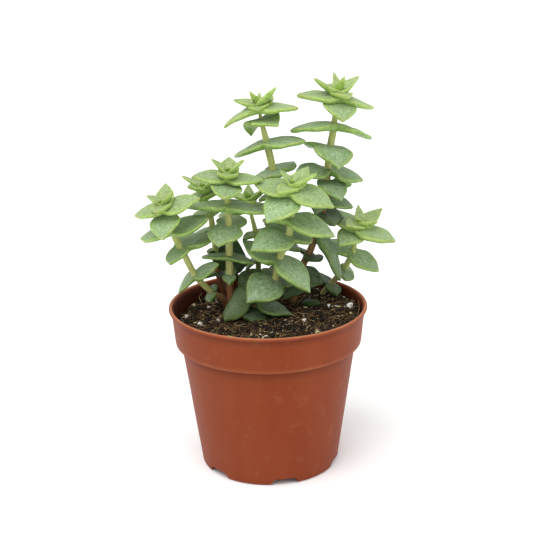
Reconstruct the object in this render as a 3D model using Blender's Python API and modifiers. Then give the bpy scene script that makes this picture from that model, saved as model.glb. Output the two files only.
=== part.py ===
"""A string-of-buttons succulent in its thin plastic nursery pot.

The pot is a turned shell with a collar, a rolled lip, six foot notches and drainage
holes. The potting soil fills it. Nine leafy stems stand in plain holes in the soil,
each one solid with its leaf pairs fused to it. Sizes below are in millimetres; the
object stands on z = 0 with the pot's axis on z and the plant's front facing -y.
"""
import math
from collections import namedtuple

import bmesh
import bpy
from mathutils import Vector, noise

MM = 0.001
CLEARANCE = 0.3

# Pot
RIM_RADIUS = 52.5
POT_HEIGHT = 88.0
WALL = 1.3
LIP_RADIUS = 1.0
COLLAR_TOP_RADIUS = 51.4
COLLAR_FOOT_RADIUS = 49.2
COLLAR_FOOT_Z = 67.0
BODY_TOP_RADIUS = 46.4
BODY_FOOT_RADIUS = 36.8
FOOT_EDGE = 1.2
FLOOR_UNDERSIDE_Z = 4.0
POT_SEGMENTS = 48
NOTCH_COUNT = 6
NOTCH_WIDTH = 15.0
NOTCH_HEIGHT = 3.4
NOTCH_CORNER = 1.2
NOTCH_DEPTH = 9.0
FIRST_NOTCH_TURN = -78.5
DRAIN_RADIUS = 3.5
DRAIN_SIDES = 14
DRAIN_CIRCLE_RADIUS = 26.0

# Soil
SOIL_Z = 80.0
SOIL_RISE_PER_X = 0.055
SOIL_RINGS = 9
CRUMB_HEIGHT = 1.1
CRUMB_SPACING = 7.0
ROOT_DEPTH = 18.0
NECK_ABOVE_SOIL = 1.0
HOLE_SIDES = 8

# Stems and leaves
STEM_RADIUS = 1.9
STEM_TIP_RADIUS = 0.7
TAPER_LENGTH = 25.0
STEM_STEP = 7.0
LEAF_SIDES = 8
LEAF_RINGS = 8
BUD_RINGS = 6
COARSE_BELOW = 14.0
BUD_REACH = 7.0
OLD_REACH = 21.0
YOUNG_WIDTH = 0.72
OLD_WIDTH = 0.92
YOUNG_CUP = 0.35
OLD_CUP = 0.05
JOINT_WIDTH = 0.58
WIDEST_AT = 0.32
TIP_FULLNESS = 2.0
THICKNESS = 0.135
THINNEST_LEAF = 0.9
TIP_THINNING = 0.3
DROOP_POWER = 1.7
LEVEL_BELOW = 14.0
TOP_SHARE = 0.42

UPRIGHT = Vector((0.0, 0.0, 1.0))

Leaf = namedtuple("Leaf", "twist reach rise")
Pair = namedtuple("Pair", "height first second")
Shoot = namedtuple("Shoot", "turn route pairs girth slimness", defaults=[1.0, 1.0])


def pair(height, first, second):
    """Two facing leaves at a height: each has a twist in degrees, a reach and a rise."""
    return Pair(height, Leaf(*first), Leaf(*second))


# A shoot's route starts where it leaves the soil. It carries its leaf pairs crosswise: the
# pairs at even places from the tip spread along the shoot's turn, and the odd ones at right
# angles to it. A leaf's twist is its own small departure from that cross, in degrees, and its
# rise is measured along the stem. Girth and slimness thin the stem and narrow its leaves.
STEMS = {
    "stem_far_left": [Shoot(
        70,
        [(-21, 12), (-24, 11, 87), (-30, 8, 92), (-38, 3, 103), (-44, -2, 118), (-48, -5, 128),
         (-50, -7, 136), (-52, -9, 144), (-53, -10, 150.5)],
        [pair(149.5, (0, 4, 3.5), (0, 4, 3)),
         pair(148, (0, 9, 2), (-8, 8, 5.5)),
         pair(146, (11, 13, 5), (9, 13, 2)),
         pair(143.5, (8, 18, -3), (12, 20, 2.5)),
         pair(139.5, (0, 15, 0), (10, 18, -4)),
         pair(131, (0, 20, -5), (22, 20, 1)),
         pair(119.5, (-31, 22, -7), (-4, 15, 2)),
         pair(103, (-18, 15, -8), (-2, 16, 3)),
         pair(92, (0, 8, 0), (0, 9, -1))],
        0.88)],
    "stem_front_left": [Shoot(
        80,
        [(-19.5, 6), (-20, 6, 95), (-20, 4, 113), (-19.5, 1, 130), (-20, -1, 142), (-20, -3, 151),
         (-19, -4, 158), (-19, -5, 165)],
        [pair(164.5, (0, 4, 4.5), (0, 4, 4)),
         pair(163, (-3, 9, 4), (-4, 9, 5)),
         pair(161, (11, 13, 4), (4, 13, 3)),
         pair(158, (9, 19, -2), (-1, 18, 1.5)),
         pair(151, (0, 17, -1), (2, 18, 3)),
         pair(142, (1, 23, -1), (-7, 22, -2.5)),
         pair(130, (0, 18, -2), (-3, 20, -1)),
         pair(113, (-2, 15, -1.5), (-4, 14, -3)),
         pair(102.5, (0, 7, 2), (8, 8, -2))])],
    "stem_inner_left": [Shoot(
        70,
        [(-20, 17), (-23, 17, 87), (-26.5, 17, 100), (-28, 16.5, 118), (-30, 16, 134), (-32, 15, 143),
         (-33, 14, 152)],
        [pair(151, (0, 4, 3), (0, 4, 3)),
         pair(150, (-5, 12, 6), (0, 11, 5)),
         pair(148, (0, 12, 3), (0, 13, 1)),
         pair(143, (0, 13, -1), (0, 10, 2)),
         pair(134, (0, 14, -1), (-15, 14, 2)),
         pair(124, (0, 11, -2), (0, 12, -2)),
         pair(112, (15, 10, -2), (85, 17, -8)),
         pair(100, (0, 9, -2), (-5, 14, -4))],
        0.88)],
    "stem_tall_left": [Shoot(
        70,
        [(4, 24), (6, 22, 100), (7, 20, 120), (6, 19, 140), (4, 18, 155), (1, 18, 170), (-2, 18, 183),
         (-3, 18, 190), (-4, 18, 195.5)],
        [pair(195, (0, 5, 4), (0, 5, 4.5)),
         pair(193, (5, 13, 2), (-8, 12, 6)),
         pair(190.5, (0, 13, 2), (20, 13, 0)),
         pair(188.5, (14, 20, -8), (8, 21, -1.5)),
         pair(182.5, (-21, 18, -2.5), (3, 17, -4)),
         pair(170, (-2, 21, -5), (2, 21, -2)),
         pair(155, (-20, 19, -1), (8, 18, 2)),
         pair(142, (0, 11, -3), (0, 12, -3)),
         pair(129, (0, 15, -3), (0, 14, -3)),
         pair(115, (0, 10, -3), (0, 12, -3)),
         pair(101, (0, 12, -3), (0, 9, -3))])],
    "stem_tallest": [Shoot(
        105,
        [(19, 15), (20, 16, 97), (22, 17, 110), (25, 17, 121), (27, 17, 132), (30, 17.5, 141),
         (32, 18, 155), (34, 19, 167), (36, 20, 178), (37, 21, 188), (38, 21, 194), (39, 21, 202)],
        [pair(201, (12, 7, 4.5), (3, 6, 4.5)),
         pair(198.5, (-4, 14, 4), (13, 12, 6)),
         pair(196, (0, 13, 2), (4, 14, 0.5)),
         pair(193, (-2, 22, -1.5), (2, 22, -3.5)),
         pair(190, (0, 18, -2), (-3, 20, -5)),
         pair(178.5, (-5, 23, -5), (-1, 22, -5)),
         pair(167, (19, 20, -2), (-6, 22, -7)),
         pair(155, (9, 19, 0), (-5, 21, -3)),
         pair(147, (0, 17, -2), (20, 17, 0)),
         pair(140, (0, 17, -3), (-6, 18, -2)),
         pair(132, (0, 15, -3), (0, 15, -3)),
         pair(121, (0, 9, -2), (-37, 17, -16)),
         pair(109, (0, 12, -3), (19, 12, 1)),
         pair(98.5, (0, 9, -3), (-45, 15, -4))])],
    "stem_centre": [
        Shoot(
            65,
            [(-9.5, 6), (-5.5, 3.5, 87), (3.5, 0.5, 100), (6, -1, 112), (11, -5, 126), (12.5, -7, 136),
             (13, -9, 145), (13.5, -11, 153), (14, -12, 161)],
            [pair(160, (0, 3.5, 3), (0, 3.5, 3)),
             pair(158.5, (-4, 8, 3), (10, 12, 4)),
             pair(156.5, (-15, 13, 4), (-5, 14, -1)),
             pair(153.5, (6, 21, -1), (2, 23, -4.5)),
             pair(145, (0, 19, -2), (-11, 21, -3)),
             pair(136, (-20, 19, -9), (10, 24, -5)),
             pair(126, (-15, 20, -5), (-30, 22, -6)),
             pair(112, (0, 22, 2.5), (-11, 23, -8)),
             pair(100, (0, 12, -2), (-8, 22, -8.5)),
             pair(88, (0, 10, -6), (-2, 20, 3.5)),
             pair(84, (0, 8, 0), (22, 16, -0.5)),
             pair(82.5, (0, 8, 0.5), (-30, 17, 0.5))]),
        Shoot(
            135,
            [(-9.5, 6), (-11, 4.5, 87), (-12, 2.5, 93), (-12, 2, 95.5)],
            [pair(95.5, (0, 4, 2), (0, 4, 2)),
             pair(94, (11, 20, -10.5), (9, 16, 5))],
            0.9, 0.75)],
    "stem_right": [Shoot(
        45,
        [(30.5, 28.5), (34, 29, 87), (42, 26, 98), (46, 22, 108), (48, 19, 117.5), (49, 18, 123),
         (51, 17, 131)],
        [pair(130.5, (0, 4, 2), (0, 4, 3)),
         pair(128.5, (-25, 8, 5), (10, 10, 2.5)),
         pair(126, (-11, 14, 8), (0, 13, 1)),
         pair(123, (0, 19, 3), (18, 22, 0.5)),
         pair(117.5, (0, 16, -1), (8, 17, 1.5)),
         pair(108, (5, 18, -3), (13, 18, -1)),
         pair(98, (0, 12, -2), (10, 13, -2)),
         pair(88, (0, 10, 2), (-18, 9, -2.5))],
        0.85)],
    "stem_back": [Shoot(
        75,
        [(-6, 32), (-5, 29, 95), (-5, 27, 105), (-6, 26, 119), (-9, 26, 133), (-10, 26, 144.5)],
        [pair(143.5, (0, 4, 3), (0, 5, 5)),
         pair(141, (0, 11, 2), (0, 12, 5)),
         pair(138, (0, 13, 0), (0, 13, 0)),
         pair(133, (-8, 20, -3), (0, 13, -2)),
         pair(119, (-20, 14, -2), (-17, 13, 0)),
         pair(104, (0, 14, -3), (0, 7, -3)),
         pair(91, (0, 9, -2), (0, 9, -2))],
        0.8)],
}

# A leaf that has dropped lies on the soil at the right
FALLEN_LEAF_FROM = (22.5, 20.0)
FALLEN_LEAF_TO = (29.0, 9.5)
FALLEN_LEAF_HALF_WIDTH = 3.9
FALLEN_LEAF_HALF_THICKNESS = 1.1
FALLEN_LEAF_CLEAR = 0.9


def clear_scene():
    """Remove whatever the file opened with."""
    for thing in list(bpy.data.objects):
        bpy.data.objects.remove(thing, do_unlink=True)


def new_collection(name):
    """A collection linked to the scene."""
    collection = bpy.data.collections.new(name)
    bpy.context.scene.collection.children.link(collection)
    return collection


def make_material(name, colour, roughness):
    """A Principled material of one colour."""
    material = bpy.data.materials.new(name)
    material.use_nodes = True
    shader = material.node_tree.nodes["Principled BSDF"]
    shader.inputs["Base Color"].default_value = (*colour, 1.0)
    shader.inputs["Roughness"].default_value = roughness
    shader.inputs["Metallic"].default_value = 0.0
    return material


def add_object(name, data, collection, material=None):
    """An object for a mesh or curve, in a collection and in its material."""
    thing = bpy.data.objects.new(name, data)
    collection.objects.link(thing)
    if material is not None:
        thing.data.materials.append(material)
    return thing


def mesh_from(name, shape):
    """Write a bmesh, given in millimetres, to a mesh in metres."""
    bmesh.ops.scale(shape, vec=(MM, MM, MM), verts=shape.verts)
    mesh = bpy.data.meshes.new(name)
    shape.to_mesh(mesh)
    shape.free()
    return mesh


def evaluated_mesh(thing):
    """The mesh of an object with its modifiers applied."""
    bpy.context.view_layer.update()
    graph = bpy.context.evaluated_depsgraph_get()
    return bpy.data.meshes.new_from_object(thing.evaluated_get(graph))


def turned_object(name, profile, collection, material):
    """A closed profile of (radius, height) points, turned round z."""
    shape = bmesh.new()
    points = [shape.verts.new((radius, 0.0, height)) for radius, height in profile]
    for above, below in zip(points, points[1:]):
        shape.edges.new((above, below))
    turned = add_object(name, mesh_from(name, shape), collection, material)
    screw = turned.modifiers.new("turn", "SCREW")
    screw.steps = POT_SEGMENTS
    screw.render_steps = POT_SEGMENTS
    screw.use_merge_vertices = True
    screw.merge_threshold = 0.00001
    return turned


def cut(thing, cutter):
    """Take one cutter out of an object."""
    modifier = thing.modifiers.new(f"cut {cutter.name}", "BOOLEAN")
    modifier.operation = "DIFFERENCE"
    modifier.object = cutter
    cutter.hide_render = True
    cutter.display_type = "WIRE"


def body_radius(height):
    """The pot's outer radius below the collar."""
    return BODY_FOOT_RADIUS + (BODY_TOP_RADIUS - BODY_FOOT_RADIUS) * height / COLLAR_FOOT_Z


def collar_radius(height):
    """The pot's outer radius on the collar."""
    share = (height - COLLAR_FOOT_Z) / (POT_HEIGHT - 2 * LIP_RADIUS - COLLAR_FOOT_Z)
    return COLLAR_FOOT_RADIUS + (COLLAR_TOP_RADIUS - COLLAR_FOOT_RADIUS) * share


def pot_profile():
    """The wall's section: floor, inside, rolled lip, outside, foot and underside."""
    floor_z = FLOOR_UNDERSIDE_Z + WALL
    step_z = COLLAR_FOOT_Z + WALL
    collar_top_z = POT_HEIGHT - 2 * LIP_RADIUS
    lip_centre = (RIM_RADIUS - LIP_RADIUS, POT_HEIGHT - LIP_RADIUS)
    lip = []
    for degrees in range(180, -91, -45):
        angle = math.radians(degrees)
        lip.append((lip_centre[0] + LIP_RADIUS * math.cos(angle),
                    lip_centre[1] + LIP_RADIUS * math.sin(angle)))
    inside = [(0.0, floor_z), (DRAIN_CIRCLE_RADIUS, floor_z), (body_radius(floor_z) - WALL, floor_z),
              (body_radius(step_z) - WALL, step_z), (collar_radius(step_z) - WALL, step_z),
              (collar_radius(collar_top_z) - WALL, collar_top_z)]
    outside = [(collar_radius(collar_top_z - 0.6), collar_top_z - 0.6), (COLLAR_FOOT_RADIUS, COLLAR_FOOT_Z),
               (BODY_TOP_RADIUS, COLLAR_FOOT_Z), (body_radius(FOOT_EDGE), FOOT_EDGE),
               (BODY_FOOT_RADIUS - 0.3 * FOOT_EDGE, 0.3 * FOOT_EDGE), (BODY_FOOT_RADIUS - FOOT_EDGE, 0.0),
               (BODY_FOOT_RADIUS - FOOT_EDGE - WALL, 0.0),
               (BODY_FOOT_RADIUS - FOOT_EDGE - WALL, FLOOR_UNDERSIDE_Z), (0.0, FLOOR_UNDERSIDE_Z)]
    return inside + lip[1:-1] + outside


def make_notch_cutter(index, cutters):
    """A rounded block that opens the foot ring, turned to its place."""
    turn = math.radians(FIRST_NOTCH_TURN + index * 360.0 / NOTCH_COUNT)
    shape = bmesh.new()
    bmesh.ops.create_cube(shape, size=1.0)
    bmesh.ops.scale(shape, vec=(NOTCH_DEPTH, NOTCH_WIDTH, 2 * NOTCH_HEIGHT), verts=shape.verts)
    along = [edge for edge in shape.edges
             if edge.calc_length() > NOTCH_DEPTH - 0.1 and edge.verts[0].co.x * edge.verts[1].co.x < 0
             and edge.verts[0].co.z > 0]
    bmesh.ops.bevel(shape, geom=along, offset=NOTCH_CORNER, segments=2, affect="EDGES", profile=0.5)
    cutter = add_object(f"notch_{index}", mesh_from("notch", shape), cutters)
    radius = (BODY_FOOT_RADIUS - FOOT_EDGE) * MM
    cutter.location = (radius * math.cos(turn), radius * math.sin(turn), 0.0)
    cutter.rotation_euler = (0.0, 0.0, turn)
    return cutter


def make_drain_cutter(name, x, y, cutters):
    """An upright cylinder through the floor."""
    shape = bmesh.new()
    bmesh.ops.create_cone(shape, cap_ends=True, segments=DRAIN_SIDES, radius1=DRAIN_RADIUS,
                          radius2=DRAIN_RADIUS, depth=4 * WALL)
    cutter = add_object(name, mesh_from(name, shape), cutters)
    cutter.location = (x * MM, y * MM, (FLOOR_UNDERSIDE_Z + 0.5 * WALL) * MM)
    return cutter


def make_pot(collection, cutters, material):
    """The turned pot with its foot notches and drainage holes."""
    pot = turned_object("pot", pot_profile(), collection, material)
    cut(pot, make_drain_cutter("drain_centre", 0.0, 0.0, cutters))
    for index in range(NOTCH_COUNT):
        cut(pot, make_notch_cutter(index, cutters))
        turn = math.radians(FIRST_NOTCH_TURN + index * 360.0 / NOTCH_COUNT)
        cut(pot, make_drain_cutter(f"drain_{index}", DRAIN_CIRCLE_RADIUS * math.cos(turn),
                                   DRAIN_CIRCLE_RADIUS * math.sin(turn), cutters))
    return pot


def soil_height(x, y):
    """The soil's surface: a slope across the pot with low crumbs on it."""
    place = Vector((x, y, 0.0)) / CRUMB_SPACING
    return SOIL_Z + SOIL_RISE_PER_X * x + CRUMB_HEIGHT * noise.noise(place)


def soil_profile():
    """The soil's section, clear of the pot's wall, step and floor."""
    floor_z = FLOOR_UNDERSIDE_Z + WALL + CLEARANCE
    step_z = COLLAR_FOOT_Z + WALL + CLEARANCE
    gap = WALL + 1.2 * CLEARANCE
    edge = collar_radius(SOIL_Z) - gap
    top = [(edge * ring / SOIL_RINGS, SOIL_Z) for ring in range(SOIL_RINGS + 1)]
    side = [(collar_radius(step_z) - gap, step_z), (body_radius(step_z) - gap, step_z),
            (body_radius(floor_z) - gap, floor_z), (0.0, floor_z)]
    return top + side


def make_soil(collection, cutters, material):
    """The filling of potting soil, with a plain hole for each stem."""
    turned = turned_object("soil_turned", soil_profile(), cutters, None)
    mesh = evaluated_mesh(turned)
    bpy.data.objects.remove(turned)
    shape = bmesh.new()
    shape.from_mesh(mesh)
    bmesh.ops.remove_doubles(shape, verts=shape.verts, dist=0.00001)
    for vertex in shape.verts:
        if vertex.co.z > (SOIL_Z - 1.0) * MM:
            height = soil_height(vertex.co.x / MM, vertex.co.y / MM)
            reach = math.hypot(vertex.co.x, vertex.co.y) / MM
            vertex.co.z = height * MM
            if reach > collar_radius(SOIL_Z) - WALL - 1.0:
                fit = (collar_radius(height) - WALL - 1.2 * CLEARANCE) / reach
                vertex.co.x *= fit
                vertex.co.y *= fit
    shape.to_mesh(mesh)
    shape.free()
    soil = add_object("soil", mesh, collection, material)
    for name, shoots in STEMS.items():
        x, y = shoots[0].route[0]
        cut(soil, make_hole_cutter(f"hole_{name}", x, y, cutters))
    return soil


def make_hole_cutter(name, x, y, cutters):
    """An upright prism a little wider than a stem."""
    radius = (STEM_RADIUS + CLEARANCE) / math.cos(math.pi / HOLE_SIDES)
    low = soil_height(x, y) - ROOT_DEPTH - 2 * CLEARANCE
    high = soil_height(x, y) + 2 * CRUMB_HEIGHT
    shape = bmesh.new()
    bmesh.ops.create_cone(shape, cap_ends=True, segments=HOLE_SIDES, radius1=radius, radius2=radius,
                          depth=high - low)
    cutter = add_object(name, mesh_from(name, shape), cutters)
    cutter.location = (x * MM, y * MM, 0.5 * (low + high) * MM)
    return cutter


def stem_route(shoot):
    """Points every few millimetres along a smooth curve through the shoot's own points.

    The stretch in the soil is straight and upright, so that it stands in its hole.
    """
    x, y = shoot.route[0]
    neck = soil_height(x, y) + NECK_ABOVE_SOIL
    knots = [Vector((x, y, neck))] + [Vector(point) for point in shoot.route[1:]]
    slopes = [Vector((0.0, 0.0, (knots[1] - knots[0]).length))]
    for before, after in zip(knots, knots[2:]):
        slopes.append(0.5 * (after - before))
    slopes.append(knots[-1] - knots[-2])
    points = [Vector((x, y, neck - NECK_ABOVE_SOIL - ROOT_DEPTH)), knots[0]]
    for start, end, leaving, arriving in zip(knots, knots[1:], slopes, slopes[1:]):
        count = max(1, round((end - start).length / STEM_STEP))
        for step in range(1, count + 1):
            t = step / count
            points.append((2 * t**3 - 3 * t**2 + 1) * start + (t**3 - 2 * t**2 + t) * leaving
                          + (3 * t**2 - 2 * t**3) * end + (t**3 - t**2) * arriving)
    return points


def smooth_step(value):
    """Rise smoothly from 0 to 1."""
    value = min(1.0, max(0.0, value))
    return value * value * (3.0 - 2.0 * value)


def place_on(points, height):
    """The point of a route at a height, and the axis that a leaf pair has there.

    The axis is the route's direction, but leaves close to the soil lie level on it.
    """
    for below, above in zip(points, points[1:]):
        if below.z <= height <= above.z:
            place = below.lerp(above, (height - below.z) / (above.z - below.z))
            direction = (above - below).normalized()
            free = smooth_step((height - soil_height(place.x, place.y)) / LEVEL_BELOW)
            return place, UPRIGHT.lerp(direction, free).normalized()
    return points[-1], (points[-1] - points[-2]).normalized()


def outline(along):
    """A leaf's width along its length: broad near the joint, then nearly straight to a point."""
    if along < WIDEST_AT:
        return JOINT_WIDTH + (1.0 - JOINT_WIDTH) * math.sin(0.5 * math.pi * along / WIDEST_AT)
    return 1.0 - ((along - WIDEST_AT) / (1.0 - WIDEST_AT)) ** TIP_FULLNESS


def leaf_length(leaf):
    """From the stem to the leaf's tip."""
    return math.hypot(leaf.reach, leaf.rise)


def maturity(leaf):
    """0 for a bud's leaf and 1 for a full-grown one."""
    return smooth_step((leaf.reach - BUD_REACH) / (OLD_REACH - BUD_REACH))


def leaf_width(leaf):
    """Old leaves are nearly as wide as they reach, young ones slimmer."""
    return leaf.reach * (YOUNG_WIDTH + (OLD_WIDTH - YOUNG_WIDTH) * maturity(leaf))


def leaf_cup(leaf):
    """How far a leaf's edges stand above its middle, as a share of its half width."""
    return YOUNG_CUP + (OLD_CUP - YOUNG_CUP) * maturity(leaf)


def blade_point(on_sphere, centre, axis, spreads, leaves, slimness):
    """Move a point of the unit sphere to its place on the pair of leaves.

    The sphere's poles become the two tips, and each ring a section across the blade.
    """
    signed = 1.0 - 2.0 * math.acos(max(-1.0, min(1.0, on_sphere.z))) / math.pi
    side = 0 if signed >= 0 else 1
    along = abs(signed)
    leaf = leaves[side]
    ring = math.hypot(on_sphere.x, on_sphere.y)
    across, upward = (on_sphere.x / ring, on_sphere.y / ring) if ring > 1e-6 else (0.0, 0.0)
    own = smooth_step(along / WIDEST_AT)
    crosswise = [axis.cross(spreads[0]), -axis.cross(spreads[1])]
    lateral = (0.5 * (crosswise[0] + crosswise[1])).lerp(crosswise[side], own).normalized()
    shared_width = 0.5 * (leaf_width(leaves[0]) + leaf_width(leaves[1]))
    half = 0.5 * slimness * (shared_width + (leaf_width(leaf) - shared_width) * own) * outline(along)
    thick = max(THINNEST_LEAF, THICKNESS * leaf_length(leaf) * (1.0 - TIP_THINNING * along))
    lift = leaf.rise * along**DROOP_POWER + leaf_cup(leaf) * half * across**2 * own
    lift += thick * upward * (TOP_SHARE if upward > 0 else 1.0 - TOP_SHARE)
    return centre + spreads[side] * leaf.reach * along + lateral * half * across + axis * lift


def make_leaf_pair(name, place, turn, leaves, slimness, collection):
    """One pair of leaves joined round the stem, from a sphere stretched along the pair."""
    centre, axis = place
    spreads = []
    for side, leaf in enumerate(leaves):
        angle = math.radians(turn + 180.0 * side + leaf.twist)
        flat = Vector((math.cos(angle), math.sin(angle), 0.0))
        spreads.append((flat - flat.dot(axis) * axis).normalized())
    small = max(leaf.reach for leaf in leaves) < COARSE_BELOW
    shape = bmesh.new()
    bmesh.ops.create_uvsphere(shape, u_segments=LEAF_SIDES, v_segments=BUD_RINGS if small else LEAF_RINGS,
                              radius=1.0)
    for vertex in shape.verts:
        vertex.co = blade_point(vertex.co, centre, axis, spreads, leaves, slimness)
    bmesh.ops.recalc_face_normals(shape, faces=shape.faces)
    return add_object(name, mesh_from(name, shape), collection)


def make_tube(name, points, girth, collection):
    """A stem as a capped tube that thins towards its tip."""
    radius = girth * STEM_RADIUS
    curve = bpy.data.curves.new(name, "CURVE")
    curve.dimensions = "3D"
    curve.bevel_depth = radius * MM
    curve.bevel_resolution = 1
    curve.use_fill_caps = True
    spline = curve.splines.new("POLY")
    spline.points.add(len(points) - 1)
    top = points[-1].z
    for knot, point in zip(spline.points, points):
        knot.co = (*(point * MM), 1.0)
        full = smooth_step((top - point.z) / TAPER_LENGTH)
        knot.radius = (STEM_TIP_RADIUS + (radius - STEM_TIP_RADIUS) * full) / radius
    wire = add_object(f"{name}_wire", curve, collection)
    mesh = evaluated_mesh(wire)
    shape = bmesh.new()
    shape.from_mesh(mesh)
    bmesh.ops.remove_doubles(shape, verts=shape.verts, dist=0.00001)
    bmesh.ops.recalc_face_normals(shape, faces=shape.faces)
    shape.to_mesh(mesh)
    shape.free()
    tube = add_object(name, mesh, collection)
    tube.matrix_world = wire.matrix_world
    bpy.data.objects.remove(wire)
    return tube


def make_stem(name, shoots, collection, material):
    """One leafy stem: its shoots and leaf pairs joined into a single solid."""
    pieces = new_collection(f"{name}_pieces")
    tubes = []
    for number, shoot in enumerate(shoots):
        points = stem_route(shoot)
        tubes.append(make_tube(f"{name}_tube_{number}", points, shoot.girth, pieces))
        for place, spec in enumerate(shoot.pairs):
            turn = shoot.turn + 90.0 * (place % 2)
            make_leaf_pair(f"{name}_pair_{number}_{place}", place_on(points, spec.height), turn,
                           (spec.first, spec.second), shoot.slimness, pieces)
    stem = add_object(name, tubes[0].data.copy(), collection, material)
    bpy.data.objects.remove(tubes[0])
    union = stem.modifiers.new("join", "BOOLEAN")
    union.operation = "UNION"
    union.operand_type = "COLLECTION"
    union.collection = pieces
    stem.data = evaluated_mesh(stem)
    stem.modifiers.clear()
    for piece in list(pieces.objects):
        bpy.data.objects.remove(piece)
    bpy.data.collections.remove(pieces)
    return stem


def make_fallen_leaf(collection, material):
    """A small dropped leaf that lies on the soil."""
    start, end = Vector(FALLEN_LEAF_FROM), Vector(FALLEN_LEAF_TO)
    shape = bmesh.new()
    bmesh.ops.create_uvsphere(shape, u_segments=LEAF_SIDES, v_segments=BUD_RINGS, radius=1.0)
    direction = (end - start).normalized()
    lateral = Vector((-direction.y, direction.x))
    for vertex in shape.verts:
        along = 0.5 + 0.5 * vertex.co.z
        flat = start.lerp(end, along) + lateral * FALLEN_LEAF_HALF_WIDTH * vertex.co.x
        lift = FALLEN_LEAF_CLEAR + FALLEN_LEAF_HALF_THICKNESS * (1.0 + vertex.co.y)
        vertex.co = (flat.x, flat.y, soil_height(flat.x, flat.y) + lift)
    bmesh.ops.recalc_face_normals(shape, faces=shape.faces)
    return add_object("fallen_leaf", mesh_from("fallen_leaf", shape), collection, material)


def shade(thing):
    """Smooth shading with sharp edges kept."""
    thing.data.shade_smooth()
    thing.data.set_sharp_from_angle(angle=math.radians(35.0))


def main():
    """Build the whole plant in its pot."""
    clear_scene()
    parts = new_collection("potted_string_of_buttons")
    cutters = new_collection("cutters")
    plastic = make_material("terracotta_plastic", (0.30, 0.065, 0.030), 0.5)
    peat = make_material("potting_soil", (0.035, 0.020, 0.012), 0.95)
    leaf_green = make_material("leaf_green", (0.23, 0.42, 0.15), 0.45)
    old_leaf = make_material("old_leaf", (0.03, 0.09, 0.02), 0.5)
    make_pot(parts, cutters, plastic)
    make_soil(parts, cutters, peat)
    for name, shoots in STEMS.items():
        shade(make_stem(name, shoots, parts, leaf_green))
    shade(make_fallen_leaf(parts, old_leaf))


main()
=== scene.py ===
"""The potted string of buttons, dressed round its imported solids.

Everything is built again from the sizes that the solids have, with finer meshes: the thin pot,
the soil with its crumbs, fibres and grains, and each leafy stem. Sizes are in millimetres until
a mesh is written. The pot stands on z = 0 with its axis on z, and the plant's front faces -y.
"""
import logging
import math
import random
from dataclasses import dataclass
from enum import Enum
from typing import Any, Iterator, NamedTuple, Optional

import bmesh
import bpy
from mathutils import Euler, Matrix, Vector, noise


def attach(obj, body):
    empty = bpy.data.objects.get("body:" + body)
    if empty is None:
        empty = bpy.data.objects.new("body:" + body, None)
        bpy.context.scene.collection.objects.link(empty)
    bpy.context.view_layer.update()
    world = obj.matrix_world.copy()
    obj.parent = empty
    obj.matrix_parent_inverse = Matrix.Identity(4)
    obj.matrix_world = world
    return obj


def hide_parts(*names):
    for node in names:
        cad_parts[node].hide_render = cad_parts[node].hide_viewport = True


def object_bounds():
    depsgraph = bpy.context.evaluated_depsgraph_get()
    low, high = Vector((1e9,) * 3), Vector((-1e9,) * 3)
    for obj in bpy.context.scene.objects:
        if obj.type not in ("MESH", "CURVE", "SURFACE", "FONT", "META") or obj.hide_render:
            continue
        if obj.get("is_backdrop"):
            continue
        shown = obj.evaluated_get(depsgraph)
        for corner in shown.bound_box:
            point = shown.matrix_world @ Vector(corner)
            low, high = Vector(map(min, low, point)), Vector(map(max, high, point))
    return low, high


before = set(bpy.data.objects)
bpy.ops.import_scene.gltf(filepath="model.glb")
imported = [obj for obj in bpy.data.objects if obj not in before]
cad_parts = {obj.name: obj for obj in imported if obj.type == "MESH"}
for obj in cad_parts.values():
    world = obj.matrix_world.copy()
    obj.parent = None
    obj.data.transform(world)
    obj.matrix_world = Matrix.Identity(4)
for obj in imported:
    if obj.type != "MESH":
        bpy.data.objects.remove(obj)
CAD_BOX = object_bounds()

LOG = logging.getLogger("potted_string_of_buttons")
MM = 0.001
BODY = "root"
UPRIGHT = Vector((0.0, 0.0, 1.0))
MERGE_MM = 0.001
AT_POLE = 1e-5
ABOUT_A_TURN = 6.28
FIRST_STEM_SEED = 100

# A colour mix's sockets by number, because its other kinds of mix use the same names
SHARE, BASE, OVER, MIXED = 0, 6, 7, 2
COLOUR_MIX = {"data_type": "RGBA"}


class Slot(Enum):
    """Material slots for the pieces; passed to add_piece, which does not use them."""

    PLASTIC = "terracotta_plastic"
    SOIL = "potting_soil"
    STEM = "leafy_stem"
    LEAF = "fallen_leaf"


class Trait(Enum):
    """What a mesh carries from point to point for its finish to read."""

    AGE = "age"
    RIM = "rim"
    UNDER = "under"
    TONE = "tone"
    SHADE = "shade"
    BLUSH = "blush"
    LONGWAYS = "longways"
    CROSSWAYS = "crossways"
    WOODY = "woody"
    SOIL_STAIN_AND_SHADE = "inside"
    WORN_AND_HIGHLIT = "worn"


LEAF_TRAITS = (Trait.AGE, Trait.RIM, Trait.UNDER, Trait.TONE, Trait.SHADE, Trait.BLUSH,
               Trait.LONGWAYS, Trait.CROSSWAYS)


class Kind(Enum):
    """The kinds of node that the finishes are made of."""

    PLACE = "ShaderNodeTexCoord"
    TRAIT = "ShaderNodeAttribute"
    MAPPING = "ShaderNodeMapping"
    NOISE = "ShaderNodeTexNoise"
    RANGE = "ShaderNodeMapRange"
    MATH = "ShaderNodeMath"
    RAMP = "ShaderNodeValToRGB"
    MIX = "ShaderNodeMix"
    GREY = "ShaderNodeCombineColor"
    VECTOR = "ShaderNodeCombineXYZ"
    VALUE = "ShaderNodeHueSaturation"
    BUMP = "ShaderNodeBump"


class Pattern(NamedTuple):
    """A noise: how far apart its features lie, how much detail they have, and how rough it is."""

    size_mm: float
    detail: float
    roughness: float = 0.5

    def settings(self) -> dict[str, float]:
        """The noise node's settings."""
        return {"Scale": 1.0 / (self.size_mm * MM), "Detail": self.detail, "Roughness": self.roughness}


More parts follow.
